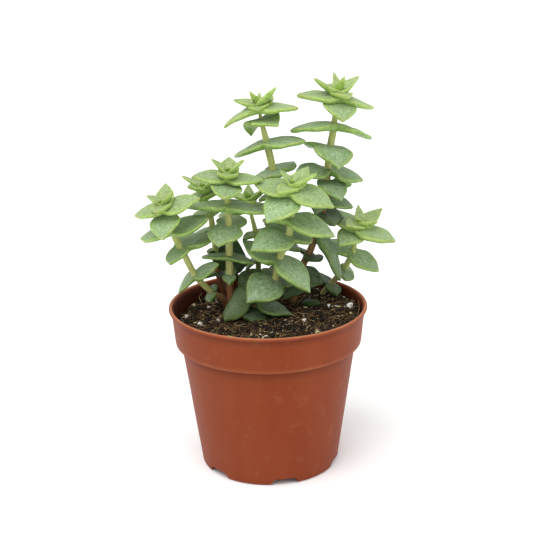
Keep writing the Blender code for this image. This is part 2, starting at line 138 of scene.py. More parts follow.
class Span(NamedTuple):
    """How a value turns into a share: where it starts and ends, and the share at each."""

    start: float
    end: float
    at_start: float = 0.0
    at_end: float = 1.0

    def settings(self) -> dict[str, float]:
        """The range node's settings."""
        return {"From Min": self.start, "From Max": self.end, "To Min": self.at_start, "To Max": self.at_end}


class Relief(NamedTuple):
    """A bump: its strength, and its height in millimetres."""

    strength: float
    height_mm: float

    def settings(self) -> dict[str, float]:
        """The bump node's settings."""
        return {"Strength": self.strength, "Distance": self.height_mm * MM}


def linear(code: str) -> tuple[float, float, float, float]:
    """Turn an sRGB colour into the linear one that a shader takes.

    Args:
        code: the colour as six hex digits after a hash.

    Returns:
        Red, green, blue and an alpha of 1.
    """
    channels = [int(code[start:start + 2], 16) / 255.0 for start in (1, 3, 5)]
    curve = [c / 12.92 if c <= 0.04045 else ((c + 0.055) / 1.055) ** 2.4 for c in channels]
    return (curve[0], curve[1], curve[2], 1.0)


def smooth_step(value: float) -> float:
    """Rise smoothly from 0 to 1."""
    value = min(1.0, max(0.0, value))
    return value * value * (3.0 - 2.0 * value)


def late_rise(value: float, start: float) -> float:
    """Rise smoothly from 0 at the start to 1 at 1."""
    return smooth_step((value - start) / (1.0 - start))


def blend(start: float, end: float, share: float) -> float:
    """A number between two, by share."""
    return start + (end - start) * share


def set_node(tree: bpy.types.NodeTree, node: bpy.types.Node, settings: dict[Any, Any],
             links: dict[Any, bpy.types.NodeSocket]) -> None:
    """Give a node its settings and the links into it.

    Args:
        tree: the material's node tree.
        node: the node.
        settings: properties by name and input values by name or number, a colour as its hex code;
            "ramp" gives a colour ramp's stops as pairs of place and code.
        links: the output that feeds each input, by the input's name or number.
    """
    for key, value in settings.items():
        if key == "ramp":
            stops = node.color_ramp.elements
            while len(stops) < len(value):
                stops.new(1.0)
            for stop, (place, code) in zip(stops, value):
                stop.position = place
                stop.color = linear(code)
        elif isinstance(key, str) and hasattr(node, key):
            setattr(node, key, value)
        else:
            node.inputs[key].default_value = linear(value) if isinstance(value, str) else value
    for key, output in links.items():
        tree.links.new(output, node.inputs[key])


def add_node(tree: bpy.types.NodeTree, kind: Kind, settings: Optional[dict[Any, Any]] = None,
             links: Optional[dict[Any, bpy.types.NodeSocket]] = None,
             output: Any = 0) -> bpy.types.NodeSocket:
    """Add a node with its settings and the links into it.

    Args:
        tree: the material's node tree.
        kind: the node's kind.
        settings: what set_node takes.
        links: the output that feeds each input.
        output: the output that is wanted, by name or number.

    Returns:
        That output.
    """
    node = tree.nodes.new(kind.value)
    set_node(tree, node, settings or {}, links or {})
    return node.outputs[output]


def new_material(name: str) -> tuple[bpy.types.Material, bpy.types.NodeTree, bpy.types.Node]:
    """Start a material.

    Args:
        name: what the real material is.

    Returns:
        The material, its node tree and its Principled shader.
    """
    material = bpy.data.materials.new(name)
    material.use_nodes = True
    tree = material.node_tree
    return material, tree, tree.nodes["Principled BSDF"]


def trait(shape: bmesh.types.BMesh, which: Trait) -> Any:
    """The mesh's layer of numbers for a trait, made when it is first asked for."""
    layers = shape.verts.layers.float
    return layers.get(which.value) or layers.new(which.value)


def gather(whole: bmesh.types.BMesh, part: bmesh.types.BMesh) -> None:
    """Move a small mesh into a large one, which is far quicker than growing the large one itself.

    Args:
        whole: the mesh that receives it.
        part: the small mesh, freed here.
    """
    carrier = bpy.data.meshes.new("carrier")
    part.to_mesh(carrier)
    part.free()
    whole.from_mesh(carrier)
    bpy.data.meshes.remove(carrier)


def as_object(name: str, shape: bmesh.types.BMesh) -> bpy.types.Object:
    """Write a mesh to an object in the scene.

    Args:
        name: the object's name.
        shape: the mesh, freed here.

    Returns:
        The object.
    """
    mesh = bpy.data.meshes.new(name)
    shape.to_mesh(mesh)
    shape.free()
    thing = bpy.data.objects.new(name, mesh)
    bpy.context.scene.collection.objects.link(thing)
    return thing


def add_piece(name: str, shape: bmesh.types.BMesh, finishes: list[bpy.types.Material], slot: Slot,
              replaced: tuple[str, ...] = (), sharp_degrees: float = 180.0) -> bpy.types.Object:
    """Write a shape in millimetres to a piece that rides on the part.

    Args:
        name: the piece's name.
        shape: closed shells, freed here.
        finishes: the materials that the faces' numbers refer to.
        slot: not used.
        replaced: the CAD nodes that the piece stands for.
        sharp_degrees: an edge that bends more than this stays sharp.

    Returns:
        The piece's object.
    """
    bmesh.ops.recalc_face_normals(shape, faces=shape.faces)
    bmesh.ops.scale(shape, vec=Vector((MM, MM, MM)), verts=shape.verts)
    piece = as_object(name, shape)
    for finish in finishes:
        piece.data.materials.append(finish)
    piece.data.shade_smooth()
    piece.data.set_sharp_from_angle(angle=math.radians(sharp_degrees))
    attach(piece, BODY)
    if replaced:
        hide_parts(*replaced)
    LOG.info("%s: %d faces", name, len(piece.data.polygons))
    return piece


def sweep(shape: bmesh.types.BMesh, points: list[Vector], radii: list[float],
          sides: int) -> list[tuple[bmesh.types.BMVert, int, float]]:
    """Stretch a ball along a line of points, as a closed tube with one ring at each point.

    Args:
        shape: the mesh that the tube is added to.
        points: the tube's centre line.
        radii: its radius at each point.
        sides: how many sides it has.

    Returns:
        Each vertex with the number of its point and its angle round the tube.
    """
    last = len(points) - 1
    bulge = 0.5
    ball = bmesh.ops.create_uvsphere(shape, u_segments=sides, v_segments=last + 2, radius=1.0)
    placed = []
    for vertex in ball["verts"]:
        ring = round(math.acos(max(-1.0, min(1.0, vertex.co.z))) * (last + 2) / math.pi)
        index = min(last, max(0, ring - 1))
        ahead = (points[min(last, index + 1)] - points[max(0, index - 1)]).normalized()
        runs_along_y = abs(ahead.y) >= 0.9
        reference = Vector((1.0, 0.0, 0.0)) if runs_along_y else Vector((0.0, 1.0, 0.0))
        across = reference.cross(ahead).normalized()
        angle = math.atan2(vertex.co.y, vertex.co.x)
        if ring in (0, last + 2):
            offset = ahead * radii[index] * (bulge if ring else -bulge)
        else:
            offset = (across * math.cos(angle) + ahead.cross(across) * math.sin(angle)) * radii[index]
        vertex.co = points[index] + offset
        placed.append((vertex, index, angle))
    return placed


@dataclass(frozen=True)
class MouldedPolypropylene:
    """Injection-moulded polypropylene, tinted terracotta.

    To the eye it is an even, slightly waxy satin with faint flow marks down the draft and a little
    dust. Soil stains and painted shade darken its inner wall, painted shade darkens it under the lip
    and the collar, and its lip and collar edge carry pale scuffs with a painted highlight.
    """

    colour: str = "#813D24"
    deep: str = "#7C371F"
    dust: str = "#9C6A4A"
    stain_and_shade: str = "#301710"
    worn: str = "#C98C68"
    sheen: str = "#F0C3A4"
    ior: float = 1.49
    specular: float = 0.16
    flow: Pattern = Pattern(14.0, 3.0)
    flow_stretch: tuple[float, float, float] = (1.0, 1.0, 0.18)
    cloud: Pattern = Pattern(9.0, 6.0, 0.7)
    grain: Pattern = Pattern(1.2, 2.0)
    flowing: Span = Span(0.35, 0.7)
    dusting: Span = Span(0.56, 0.8, 0.0, 0.3)
    gloss: Span = Span(0.0, 1.0, 0.43, 0.6)
    staining_and_shading: Span = Span(0.0, 1.0, 0.55, 1.05)
    scuffing_and_highlight: Span = Span(0.0, 1.0, 0.2, 1.0)
    relief: Relief = Relief(0.1, 0.1)

    def material(self) -> bpy.types.Material:
        """Build the node material.

        Returns:
            The material.
        """
        material, tree, shader = new_material("moulded_polypropylene")
        place = add_node(tree, Kind.PLACE, output="Object")
        inside, wear_and_highlight = (add_node(tree, Kind.TRAIT, {"attribute_name": which.value}, output="Fac")
                          for which in (Trait.SOIL_STAIN_AND_SHADE, Trait.WORN_AND_HIGHLIT))
        long_way = add_node(tree, Kind.MAPPING, {"Scale": self.flow_stretch}, {"Vector": place})
        flow, cloud, grain = (
            add_node(tree, Kind.NOISE, pattern.settings(), {"Vector": where})
            for pattern, where in ((self.flow, long_way), (self.cloud, place), (self.grain, place)))
        flowing, dusty, rough, stain_and_shade_share, scuffed_and_highlit = (
            add_node(tree, Kind.RANGE, span.settings(), {"Value": value})
            for span, value in ((self.flowing, flow), (self.dusting, cloud), (self.gloss, cloud),
                                (self.staining_and_shading, cloud), (self.scuffing_and_highlight, cloud)))
        # Soil stain with painted shade, and pale wear with a painted highlight, each broken up by the cloud
        stained_and_shaded, worn = (add_node(tree, Kind.MATH, {"operation": "MULTIPLY"}, {0: share, 1: where})
                         for share, where in ((stain_and_shade_share, inside), (scuffed_and_highlit, wear_and_highlight)))
        colour = add_node(tree, Kind.MIX, {**COLOUR_MIX, BASE: self.colour, OVER: self.deep},
                          {SHARE: flowing}, MIXED)
        for share, code in ((dusty, self.dust), (stained_and_shaded, self.stain_and_shade), (worn, self.worn)):
            colour = add_node(tree, Kind.MIX, {**COLOUR_MIX, OVER: code}, {SHARE: share, BASE: colour}, MIXED)
        bump = add_node(tree, Kind.BUMP, self.relief.settings(), {"Height": grain})
        set_node(tree, shader,
                 {"IOR": self.ior, "Specular IOR Level": self.specular, "Specular Tint": self.sheen},
                 {"Base Color": colour, "Roughness": rough, "Normal": bump})
        return material


@dataclass(frozen=True)
class DampPeat:
    """Milled peat with bark fines, slightly damp.

    To the eye it is dark brown on its crumbs and without gloss; the bed's tone adds painted shade, nearly
    black, in its hollows and painted light on its tops.
    """

    colours: tuple[tuple[float, str], ...] = ((0.3, "#0D0905"), (0.62, "#281D13"), (1.0, "#5C4C35"))
    roughness: float = 0.93
    specular: float = 0.25
    crumb: Pattern = Pattern(1.6, 5.0, 0.7)
    fine: Pattern = Pattern(0.6, 3.0)
    relief: Relief = Relief(0.6, 0.3)

    def material(self) -> bpy.types.Material:
        """Build the node material.

        Returns:
            The material.
        """
        material, tree, shader = new_material("damp_peat")
        place = add_node(tree, Kind.PLACE, output="Object")
        tone = add_node(tree, Kind.TRAIT, {"attribute_name": Trait.TONE.value}, output="Fac")
        crumb, fine = (add_node(tree, Kind.NOISE, pattern.settings(), {"Vector": place})
                       for pattern in (self.crumb, self.fine))
        # The tone carries the bed's painted light and shade, added to the crumbs' own variation
        light = add_node(tree, Kind.MATH, {"operation": "ADD"}, {0: crumb, 1: tone})
        colour = add_node(tree, Kind.RAMP, {"ramp": self.colours}, {"Fac": light})
        bump = add_node(tree, Kind.BUMP, self.relief.settings(), {"Height": fine})
        set_node(tree, shader, {"Roughness": self.roughness, "Specular IOR Level": self.specular},
                 {"Base Color": colour, "Normal": bump})
        return material


@dataclass(frozen=True)
class DryMatter:
    """Loose dry bits: fibre, bark, perlite or shed leaf, each a range of colours from bit to bit.

    To the eye they are matte, and no two bits have the same colour.
    """

    name: str
    colours: tuple[str, ...]
    roughness: float = 0.85
    spot_mm: float = 0.9
    spot_detail: float = 3.0
    spot_from: float = 0.35
    spot_to: float = 0.65
    spot_depth: float = 0.25
    specular: float = 0.3
    relief: Relief = Relief(0.5, 0.15)

    def material(self) -> bpy.types.Material:
        """Build the node material.

        Returns:
            The material.
        """
        material, tree, shader = new_material(self.name)
        place = add_node(tree, Kind.PLACE, output="Object")
        tone = add_node(tree, Kind.TRAIT, {"attribute_name": Trait.TONE.value}, output="Fac")
        last = len(self.colours) - 1
        stops = [(number / last, code) for number, code in enumerate(self.colours)]
        ramp = add_node(tree, Kind.RAMP, {"ramp": stops}, {"Fac": tone})
        pattern = Pattern(self.spot_mm, self.spot_detail)
        spots = add_node(tree, Kind.NOISE, pattern.settings(), {"Vector": place})
        spotting = Span(self.spot_from, self.spot_to, 1.0 - self.spot_depth, 1.0)
        depth = add_node(tree, Kind.RANGE, spotting.settings(), {"Value": spots})
        grey = add_node(tree, Kind.GREY, {}, {0: depth, 1: depth, 2: depth})
        colour = add_node(tree, Kind.MIX, {**COLOUR_MIX, "blend_type": "MULTIPLY", SHARE: 1.0},
                          {BASE: ramp, OVER: grey}, MIXED)
        bump = add_node(tree, Kind.BUMP, self.relief.settings(), {"Height": spots})
        set_node(tree, shader, {"Roughness": self.roughness, "Specular IOR Level": self.specular},
                 {"Base Color": colour, "Normal": bump})
        return material


@dataclass(frozen=True)
class WaxyLeaf:
    """Living leaf flesh under a thin coat of wax.

    To the eye the face is a soft grey-green with a pale bloom and fine specks, its edge a thin
    yellow line, and the thick side and back a clear green. Young leaves are lighter and yellower.
    """

    name: str = "waxy_leaf"
    ages: tuple[tuple[float, str], ...] = (
        (0.0, "#97AA6D"), (0.3, "#859E6B"), (0.65, "#778F64"), (1.0, "#596F48"))
    backs: tuple[tuple[float, str], ...] = (
        (0.0, "#9DBA5C"), (0.35, "#82A64C"), (0.7, "#688B3E"), (1.0, "#4A6A2B"))
    rim: str = "#B9C36F"
    blush: str = "#BE8A5C"
    bloom: str = "#B9CBAE"
    pore: str = "#4C6A36"
    shade: str = "#1C3012"
    roughness: float = 0.45
    face_duller: float = 0.1
    back_glossier: float = 0.04
    specular: float = 0.32
    glow: float = 0.12
    glow_radius: tuple[float, float, float] = (0.6, 1.0, 0.25)
    glow_mm: float = 1.0
    mottle: Pattern = Pattern(3.4, 4.0)
    pores: Pattern = Pattern(1.1, 2.0)
    # Flecks are drawn about 1 mm apart, coarser than the real ones, so that they show
    flecks: Pattern = Pattern(0.9, 3.0, 0.7)
    relief: Relief = Relief(0.3, 0.15)
    # The bloom lies in specks a little longer than they are broad, and each leaf has its own
    streak_mm: float = 1.3
    half_leaf_mm: float = 8.0
    along_mm: float = 8.5
    leaf_apart: float = 60.0
    streak_detail: float = 4.0
    streak_roughness: float = 0.6
    margin: Span = Span(0.45, 1.0)
    fresh_margin: Span = Span(0.0, 1.0, 0.0, 0.55)
    worn_margin: Span = Span(0.0, 1.0, 1.0, 0.2)
    streaking: Span = Span(0.36, 0.72, 0.0, 0.54)
    waxing: Span = Span(0.0, 0.35, 0.35, 1.0)
    poring: Span = Span(0.52, 0.7, 0.0, 0.5)
    back_waxing: Span = Span(0.45, 0.75, 0.0, 0.2)
    rimming: Span = Span(0.3, 0.6, 0.1, 0.7)
    blushing: Span = Span(0.42, 0.62, 0.0, 0.7)
    flecking: Span = Span(0.3, 0.7, 0.74, 1.28)

    def material(self) -> bpy.types.Material:
        """Build the node material.

        Returns:
            The material.
        """
        material, tree, shader = new_material(self.name)
        place = add_node(tree, Kind.PLACE, output="Object")
        read = {which: add_node(tree, Kind.TRAIT, {"attribute_name": which.value}, output="Fac")
                for which in LEAF_TRAITS}
        face, back = (add_node(tree, Kind.RAMP, {"ramp": stops}, {"Fac": read[Trait.AGE]})
                      for stops in (self.ages, self.backs))
        mottle, pores, flecks = (add_node(tree, Kind.NOISE, pattern.settings(), {"Vector": place})
                                 for pattern in (self.mottle, self.pores, self.flecks))
        own = add_node(tree, Kind.VECTOR, {}, {0: read[Trait.CROSSWAYS], 1: read[Trait.LONGWAYS],
                                               2: read[Trait.TONE]})
        grid = (self.half_leaf_mm / self.streak_mm, self.along_mm / self.streak_mm, self.leaf_apart)
        laid = add_node(tree, Kind.MAPPING, {"Scale": grid}, {"Vector": own})
        streaks = add_node(tree, Kind.NOISE, {"Scale": 1.0, "Detail": self.streak_detail,
                                              "Roughness": self.streak_roughness}, {"Vector": laid})
        outward = add_node(tree, Kind.MATH, {"operation": "ABSOLUTE"}, {0: read[Trait.CROSSWAYS]})
        margin = add_node(tree, Kind.RANGE, self.margin.settings(), {"Value": outward})
        gloss = Span(0.0, 1.0, self.roughness + self.face_duller, self.roughness - self.back_glossier)
        greener, unworn, streaked, waxing, pored, back_waxed, rimming, blushing, flecking, rough = (
            add_node(tree, Kind.RANGE, span.settings(), {"Value": value})
            for span, value in (
                (self.fresh_margin, margin), (self.worn_margin, margin), (self.streaking, streaks),
                (self.waxing, read[Trait.AGE]), (self.poring, pores), (self.back_waxing, mottle),
                (self.rimming, mottle), (self.blushing, mottle), (self.flecking, flecks),
                (gloss, read[Trait.UNDER])))
        kept, rimmed, blushed, toned = (
            add_node(tree, Kind.MATH, {"operation": "MULTIPLY"}, {0: first, 1: second})
            for first, second in ((streaked, unworn), (read[Trait.RIM], rimming),
                                  (read[Trait.BLUSH], blushing), (flecking, read[Trait.TONE])))
        waxed = add_node(tree, Kind.MATH, {"operation": "MULTIPLY"}, {0: kept, 1: waxing})
        fresh = add_node(tree, Kind.MIX, COLOUR_MIX, {SHARE: greener, BASE: face, OVER: back}, MIXED)
        # The face wears its bloom off towards the margin, and the back keeps only a little
        sides = []
        for flesh, bloomed in ((fresh, waxed), (back, back_waxed)):
            for share, code in ((bloomed, self.bloom), (pored, self.pore)):
                flesh = add_node(tree, Kind.MIX, {**COLOUR_MIX, OVER: code},
                                 {SHARE: share, BASE: flesh}, MIXED)
            sides.append(flesh)
        colour = add_node(tree, Kind.MIX, COLOUR_MIX,
                          {SHARE: read[Trait.UNDER], BASE: sides[0], OVER: sides[1]}, MIXED)
        for share, code in ((rimmed, self.rim), (blushed, self.blush), (read[Trait.SHADE], self.shade)):
            colour = add_node(tree, Kind.MIX, {**COLOUR_MIX, OVER: code}, {SHARE: share, BASE: colour}, MIXED)
        flecked = add_node(tree, Kind.VALUE, {}, {"Value": toned, "Color": colour})
        bump = add_node(tree, Kind.BUMP, self.relief.settings(), {"Height": flecks})
        set_node(tree, shader, {"Specular IOR Level": self.specular, "Subsurface Weight": self.glow,
                                "Subsurface Radius": self.glow_radius, "Subsurface Scale": self.glow_mm * MM},
                 {"Base Color": flecked, "Roughness": rough, "Normal": bump})
        return material


@dataclass(frozen=True)
class StemRind:
    """The rind of a succulent stem, green above and woody below.

    To the eye it is a pale straw green with fine lines along it, which browns and reddens in the
    oldest part, where the green lines fade.
    """

    colours: tuple[tuple[float, str], ...] = ((0.0, "#BAC676"), (0.5, "#ACA569"), (1.0, "#7A4526"))
    line: str = "#8D9054"
    shade: str = "#3B2A1A"
    roughness: float = 0.55
    specular: float = 0.3
    lines: Pattern = Pattern(0.7, 2.0)
    line_stretch: tuple[float, float, float] = (1.0, 1.0, 0.06)
    lining: Span = Span(0.42, 0.66, 0.0, 0.7)
    fading: Span = Span(0.0, 1.0, 1.0, 0.15)
    relief: Relief = Relief(0.4, 0.15)

    def material(self) -> bpy.types.Material:
        """Build the node material.

        Returns:
            The material.
        """
        material, tree, shader = new_material("stem_rind")
        place = add_node(tree, Kind.PLACE, output="Object")
        woody, shade = (add_node(tree, Kind.TRAIT, {"attribute_name": which.value}, output="Fac")
                        for which in (Trait.WOODY, Trait.SHADE))
        long_way = add_node(tree, Kind.MAPPING, {"Scale": self.line_stretch}, {"Vector": place})
        lines = add_node(tree, Kind.NOISE, self.lines.settings(), {"Vector": long_way})
        lining, fading = (add_node(tree, Kind.RANGE, span.settings(), {"Value": value})
                          for span, value in ((self.lining, lines), (self.fading, woody)))
        lined = add_node(tree, Kind.MATH, {"operation": "MULTIPLY"}, {0: lining, 1: fading})
        colour = add_node(tree, Kind.RAMP, {"ramp": self.colours}, {"Fac": woody})
        for share, code in ((lined, self.line), (shade, self.shade)):
            colour = add_node(tree, Kind.MIX, {**COLOUR_MIX, OVER: code}, {SHARE: share, BASE: colour}, MIXED)
        bump = add_node(tree, Kind.BUMP, self.relief.settings(), {"Height": lines})
        set_node(tree, shader, {"Roughness": self.roughness, "Specular IOR Level": self.specular},
                 {"Base Color": colour, "Normal": bump})
        return material


@dataclass(frozen=True)
class WhitePaper:
    """The studio's paper floor, which is white and quite matte to the eye."""

    colour: str = "#FCFCFC"
    roughness: float = 0.9
    specular: float = 0.1

    def material(self) -> bpy.types.Material:
        """Build the node material.

        Returns:
            The material.
        """
        material, tree, shader = new_material("white_paper")
        set_node(tree, shader, {"Base Color": self.colour, "Roughness": self.roughness,
                                "Specular IOR Level": self.specular}, {})
        return material


class ProfilePoint(NamedTuple):
    """A point of a turned section: its distance from the axis and its height."""

    radius: float
    height: float


def arc(centre: ProfilePoint, radius: float, start: float, end: float, step: float) -> list[ProfilePoint]:
    """Points along a rounded corner of a section.

    Args:
        centre: the corner's centre.
        radius: its radius.
        start: the angle of the first point in degrees, 0 outwards and 90 up.
        end: the angle of the last point.
        step: about how many degrees lie between two points.

    Returns:
        The points in order.
    """
    count = max(1, round(abs(end - start) / step))
    angles = [math.radians(start + (end - start) * index / count) for index in range(count + 1)]
    return [ProfilePoint(centre.radius + radius * math.cos(a), centre.height + radius * math.sin(a))
            for a in angles]


def spin_section(section: list[ProfilePoint], steps: int) -> bmesh.types.BMesh:
    """Turn a section once round the axis.

    Args:
        section: its points, which start and end on the axis.
        steps: how many steps the turn has.

    Returns:
        The turned mesh in millimetres.
    """
    shape = bmesh.new()
    points = [shape.verts.new((point.radius, 0.0, point.height)) for point in section]
    edges = [shape.edges.new(ends) for ends in zip(points, points[1:])]
    bmesh.ops.spin(shape, geom=points + edges, cent=(0.0, 0.0, 0.0), axis=(0.0, 0.0, 1.0),
                   dvec=(0.0, 0.0, 0.0), angle=2.0 * math.pi, steps=steps, use_merge=True,
                   use_duplicate=False)
    bmesh.ops.remove_doubles(shape, verts=shape.verts, dist=MERGE_MM)
    return shape


@dataclass
class NurseryPot:
    """The thin pot: rolled lip, wider collar, tapered body, raised floor, foot notches and drains."""

    rim_radius: float = 52.5
    height: float = 88.0
    wall: float = 1.3
    lip_radius: float = 1.0
    lip_seat: float = 0.8
    collar_top_radius: float = 51.1
    collar_foot_radius: float = 49.3
    collar_foot_z: float = 68.0
    body_top_radius: float = 46.4
    body_foot_radius: float = 36.8
    foot_edge: float = 1.2
    floor_underside_z: float = 4.0
    floor_ring_radius: float = 13.0
    corner: float = 0.5
    steps: int = 160
    inner_body_z: tuple[float, ...] = (14.0, 22.0, 30.0, 38.0, 46.0, 54.0, 62.0)
    inner_collar_z: tuple[float, ...] = (72.0, 76.0, 80.0, 83.0)
    outer_collar_z: tuple[float, ...] = (82.0, 78.0, 74.0, 70.5)
    outer_body_z: tuple[float, ...] = (62.0, 57.0, 52.0, 47.0, 42.0, 37.0, 32.0, 27.0, 22.0, 17.0, 12.0, 7.0)
    notch_count: int = 6
    notch_width: float = 15.0
    notch_height: float = 3.4
    notch_corner: float = 1.2
    notch_segments: int = 5
    notch_depth: float = 9.0
    notch_taper: float = 0.27
    first_notch_turn: float = -78.5
    drain_radius: float = 3.5
    drain_sides: int = 40
    drain_circle_radius: float = 26.0
    # The thin wall waves a little between its stiff foot and its stiff rim
    waviness: float = 0.14
    wave_mm: float = 28.0
    foot_stiff_to_z: float = 8.0
    foot_gives_over: float = 12.0
    rim_stiff_from_z: float = 84.0
    rim_gives_over: float = 14.0
    wall_from_radius: float = 30.0
    # Soil stains and painted shade darken the inner wall, painted shade darkens the pot under the lip and the
    # collar, and the lip and the collar's foot edge get pale scuffs with a painted highlight
    outer_share: float = 0.7
    stain_below_rim: float = 0.7
    stain_fades_over: float = 1.5
    marks_from_radius: float = 40.0
    ledge_shade: float = 0.5
    ledge_shade_reach: float = 2.6
    ledge_shade_overlap: float = 0.1
    lip_drop: float = 1.8
    rim_wear_and_highlight: float = 0.75
    rim_wear_and_highlight_reach: float = 0.8
    collar_wear_and_highlight: float = 0.2
    collar_wear_and_highlight_above: float = 0.4
    collar_wear_and_highlight_reach: float = 0.7

    def body_radius(self, height: float) -> float:
        """The outer radius below the collar."""
        return blend(self.body_foot_radius, self.body_top_radius, height / self.collar_foot_z)

    def collar_radius(self, height: float) -> float:
        """The outer radius on the collar."""
        rise = self.height - 2.0 * self.lip_radius - self.collar_foot_z
        return blend(self.collar_foot_radius, self.collar_top_radius, (height - self.collar_foot_z) / rise)

    def section(self) -> list[ProfilePoint]:
        """The wall's section, from the middle of the floor over the lip to the underside.

        Returns:
            Its points in order.
        """
        wall, edge, foot = self.wall, self.corner, self.foot_edge
        underside_z = self.floor_underside_z
        floor_z = underside_z + wall
        step_z = self.collar_foot_z + wall
        collar_top = self.height - 2.0 * self.lip_radius
        floor_radii = (0.0, self.floor_ring_radius, self.drain_circle_radius)
        points = [ProfilePoint(radius, floor_z) for radius in floor_radii]
        inner_floor = ProfilePoint(self.body_radius(floor_z) - wall - edge, floor_z + edge)
        points += arc(inner_floor, edge, start=-90.0, end=-5.0, step=30.0)
        points += [ProfilePoint(self.body_radius(z) - wall, z) for z in (*self.inner_body_z, step_z - edge)]
        points += [ProfilePoint(self.body_radius(step_z) - wall + edge, step_z),
                   ProfilePoint(self.collar_radius(step_z) - wall - edge, step_z),
                   ProfilePoint(self.collar_radius(step_z) - wall, step_z + edge)]
        points += [ProfilePoint(self.collar_radius(z) - wall, z) for z in (*self.inner_collar_z, collar_top)]
        lip = ProfilePoint(self.rim_radius - self.lip_radius, self.height - self.lip_radius)
        points += arc(lip, self.lip_radius, start=165.0, end=-105.0, step=15.0)
        points += [ProfilePoint(self.collar_radius(z), z)
                   for z in (collar_top - self.lip_seat, *self.outer_collar_z)]
        collar_foot = ProfilePoint(self.collar_foot_radius - edge, self.collar_foot_z + edge)
        points += arc(collar_foot, edge, start=0.0, end=-90.0, step=18.0)
        body_top = ProfilePoint(self.body_top_radius + edge, self.collar_foot_z - edge)
        points += arc(body_top, edge, start=90.0, end=180.0, step=22.0)
        points += [ProfilePoint(self.body_radius(z), z) for z in self.outer_body_z]
        outer_foot = ProfilePoint(self.body_radius(foot) - foot, foot)
        points += arc(outer_foot, foot, start=0.0, end=-90.0, step=18.0)
        foot_inner = self.body_foot_radius - foot - wall
        points += [ProfilePoint(foot_inner, 0.0), ProfilePoint(foot_inner, underside_z)]
        return points + [ProfilePoint(radius, underside_z) for radius in reversed(floor_radii)]

    def cutter(self) -> bpy.types.Object:
        """All foot notches and drainage holes as one cutting object.

        Returns:
            The object.
        """
        shape = bmesh.new()
        turns = [math.radians(self.first_notch_turn + index * 360.0 / self.notch_count)
                 for index in range(self.notch_count)]
        at_foot = Matrix.Translation((self.body_foot_radius - self.foot_edge, 0.0, 0.0))
        for turn in turns:
            block = bmesh.new()
            bmesh.ops.create_cube(block, size=1.0)
            bmesh.ops.scale(block, vec=(self.notch_depth, self.notch_width, 2.0 * self.notch_height),
                            verts=block.verts)
            for vertex in block.verts:
                vertex.co.y *= 1.0 - math.copysign(self.notch_taper, vertex.co.z)
            upper = [e for e in block.edges if e.verts[0].co.x * e.verts[1].co.x < 0 < e.verts[0].co.z]
            bmesh.ops.bevel(block, geom=upper, offset=self.notch_corner, segments=self.notch_segments,
                            affect="EDGES", profile=0.5, material=-1)
            bmesh.ops.transform(block, matrix=Matrix.Rotation(turn, 4, "Z") @ at_foot, verts=block.verts)
            gather(shape, block)
        ring = self.drain_circle_radius
        for x, y in [(0.0, 0.0)] + [(ring * math.cos(turn), ring * math.sin(turn)) for turn in turns]:
            middle = Matrix.Translation((x, y, self.floor_underside_z + 0.5 * self.wall))
            bmesh.ops.create_cone(shape, cap_ends=True, segments=self.drain_sides,
                                  radius1=self.drain_radius, radius2=self.drain_radius,
                                  depth=4.0 * self.wall, matrix=middle)
        return as_object("openings", shape)

    def opened(self) -> bmesh.types.BMesh:
        """The turned pot, a little waved, with its notches and drains cut out.

        Returns:
            Its mesh.
        """
        turned = spin_section(self.section(), self.steps)
        bmesh.ops.recalc_face_normals(turned, faces=turned.faces)
        for vertex in turned.verts:
            reach = math.hypot(vertex.co.x, vertex.co.y)
            loose = (smooth_step((vertex.co.z - self.foot_stiff_to_z) / self.foot_gives_over)
                     * smooth_step((self.rim_stiff_from_z - vertex.co.z) / self.rim_gives_over))
            if reach > self.wall_from_radius:
                swell = 1.0 + self.waviness * loose * noise.noise(vertex.co / self.wave_mm) / reach
                vertex.co.x *= swell
                vertex.co.y *= swell
        pot, cutter = as_object("pot_turned", turned), self.cutter()
        openings = pot.modifiers.new("openings", "BOOLEAN")
        openings.operation = "DIFFERENCE"
        openings.solver = "EXACT"
        openings.object = cutter
        bpy.context.view_layer.update()
        cut = bpy.data.meshes.new_from_object(pot.evaluated_get(bpy.context.evaluated_depsgraph_get()))
        bpy.data.objects.remove(pot)
        bpy.data.objects.remove(cutter)
        shape = bmesh.new()
        shape.from_mesh(cut)
        bmesh.ops.remove_doubles(shape, verts=shape.verts, dist=MERGE_MM)
        return shape

    def mark(self, shape: bmesh.types.BMesh) -> None:
        """Note where soil stains and painted shade darken the pot, and where pale scuffs and a painted
        highlight lie on it.

        Args:
            shape: its mesh.
        """
        inside, worn = trait(shape, Trait.SOIL_STAIN_AND_SHADE), trait(shape, Trait.WORN_AND_HIGHLIT)
        for vertex in shape.verts:
            reach, z = math.hypot(vertex.co.x, vertex.co.y), vertex.co.z
            outer = self.collar_radius(z) if z > self.collar_foot_z else self.body_radius(z)
            if reach < outer - self.outer_share * self.wall and z > self.floor_underside_z + 0.5 * self.wall:
                # Soil stain and painted shade on the inner wall below the rim
                vertex[inside] = smooth_step((self.height - self.stain_below_rim - z) / self.stain_fades_over)
            elif reach > self.marks_from_radius:
                # Painted shade under the lip and under the collar's foot
                gaps = (self.collar_foot_z - z, self.height - self.lip_drop * self.lip_radius - z)
                near = [gap for gap in gaps if gap > -self.ledge_shade_overlap]
                vertex[inside] = self.ledge_shade * max(
                    (smooth_step(1.0 - gap / self.ledge_shade_reach) for gap in near), default=0.0)
                # Pale wear with a painted highlight along the lip's top and the collar's foot edge
                from_collar = abs(self.collar_foot_z + self.collar_wear_and_highlight_above - z)
                vertex[worn] = max(
                    self.rim_wear_and_highlight * smooth_step(1.0 - (self.height - z) / self.rim_wear_and_highlight_reach),
                    self.collar_wear_and_highlight * smooth_step(1.0 - from_collar / self.collar_wear_and_highlight_reach))

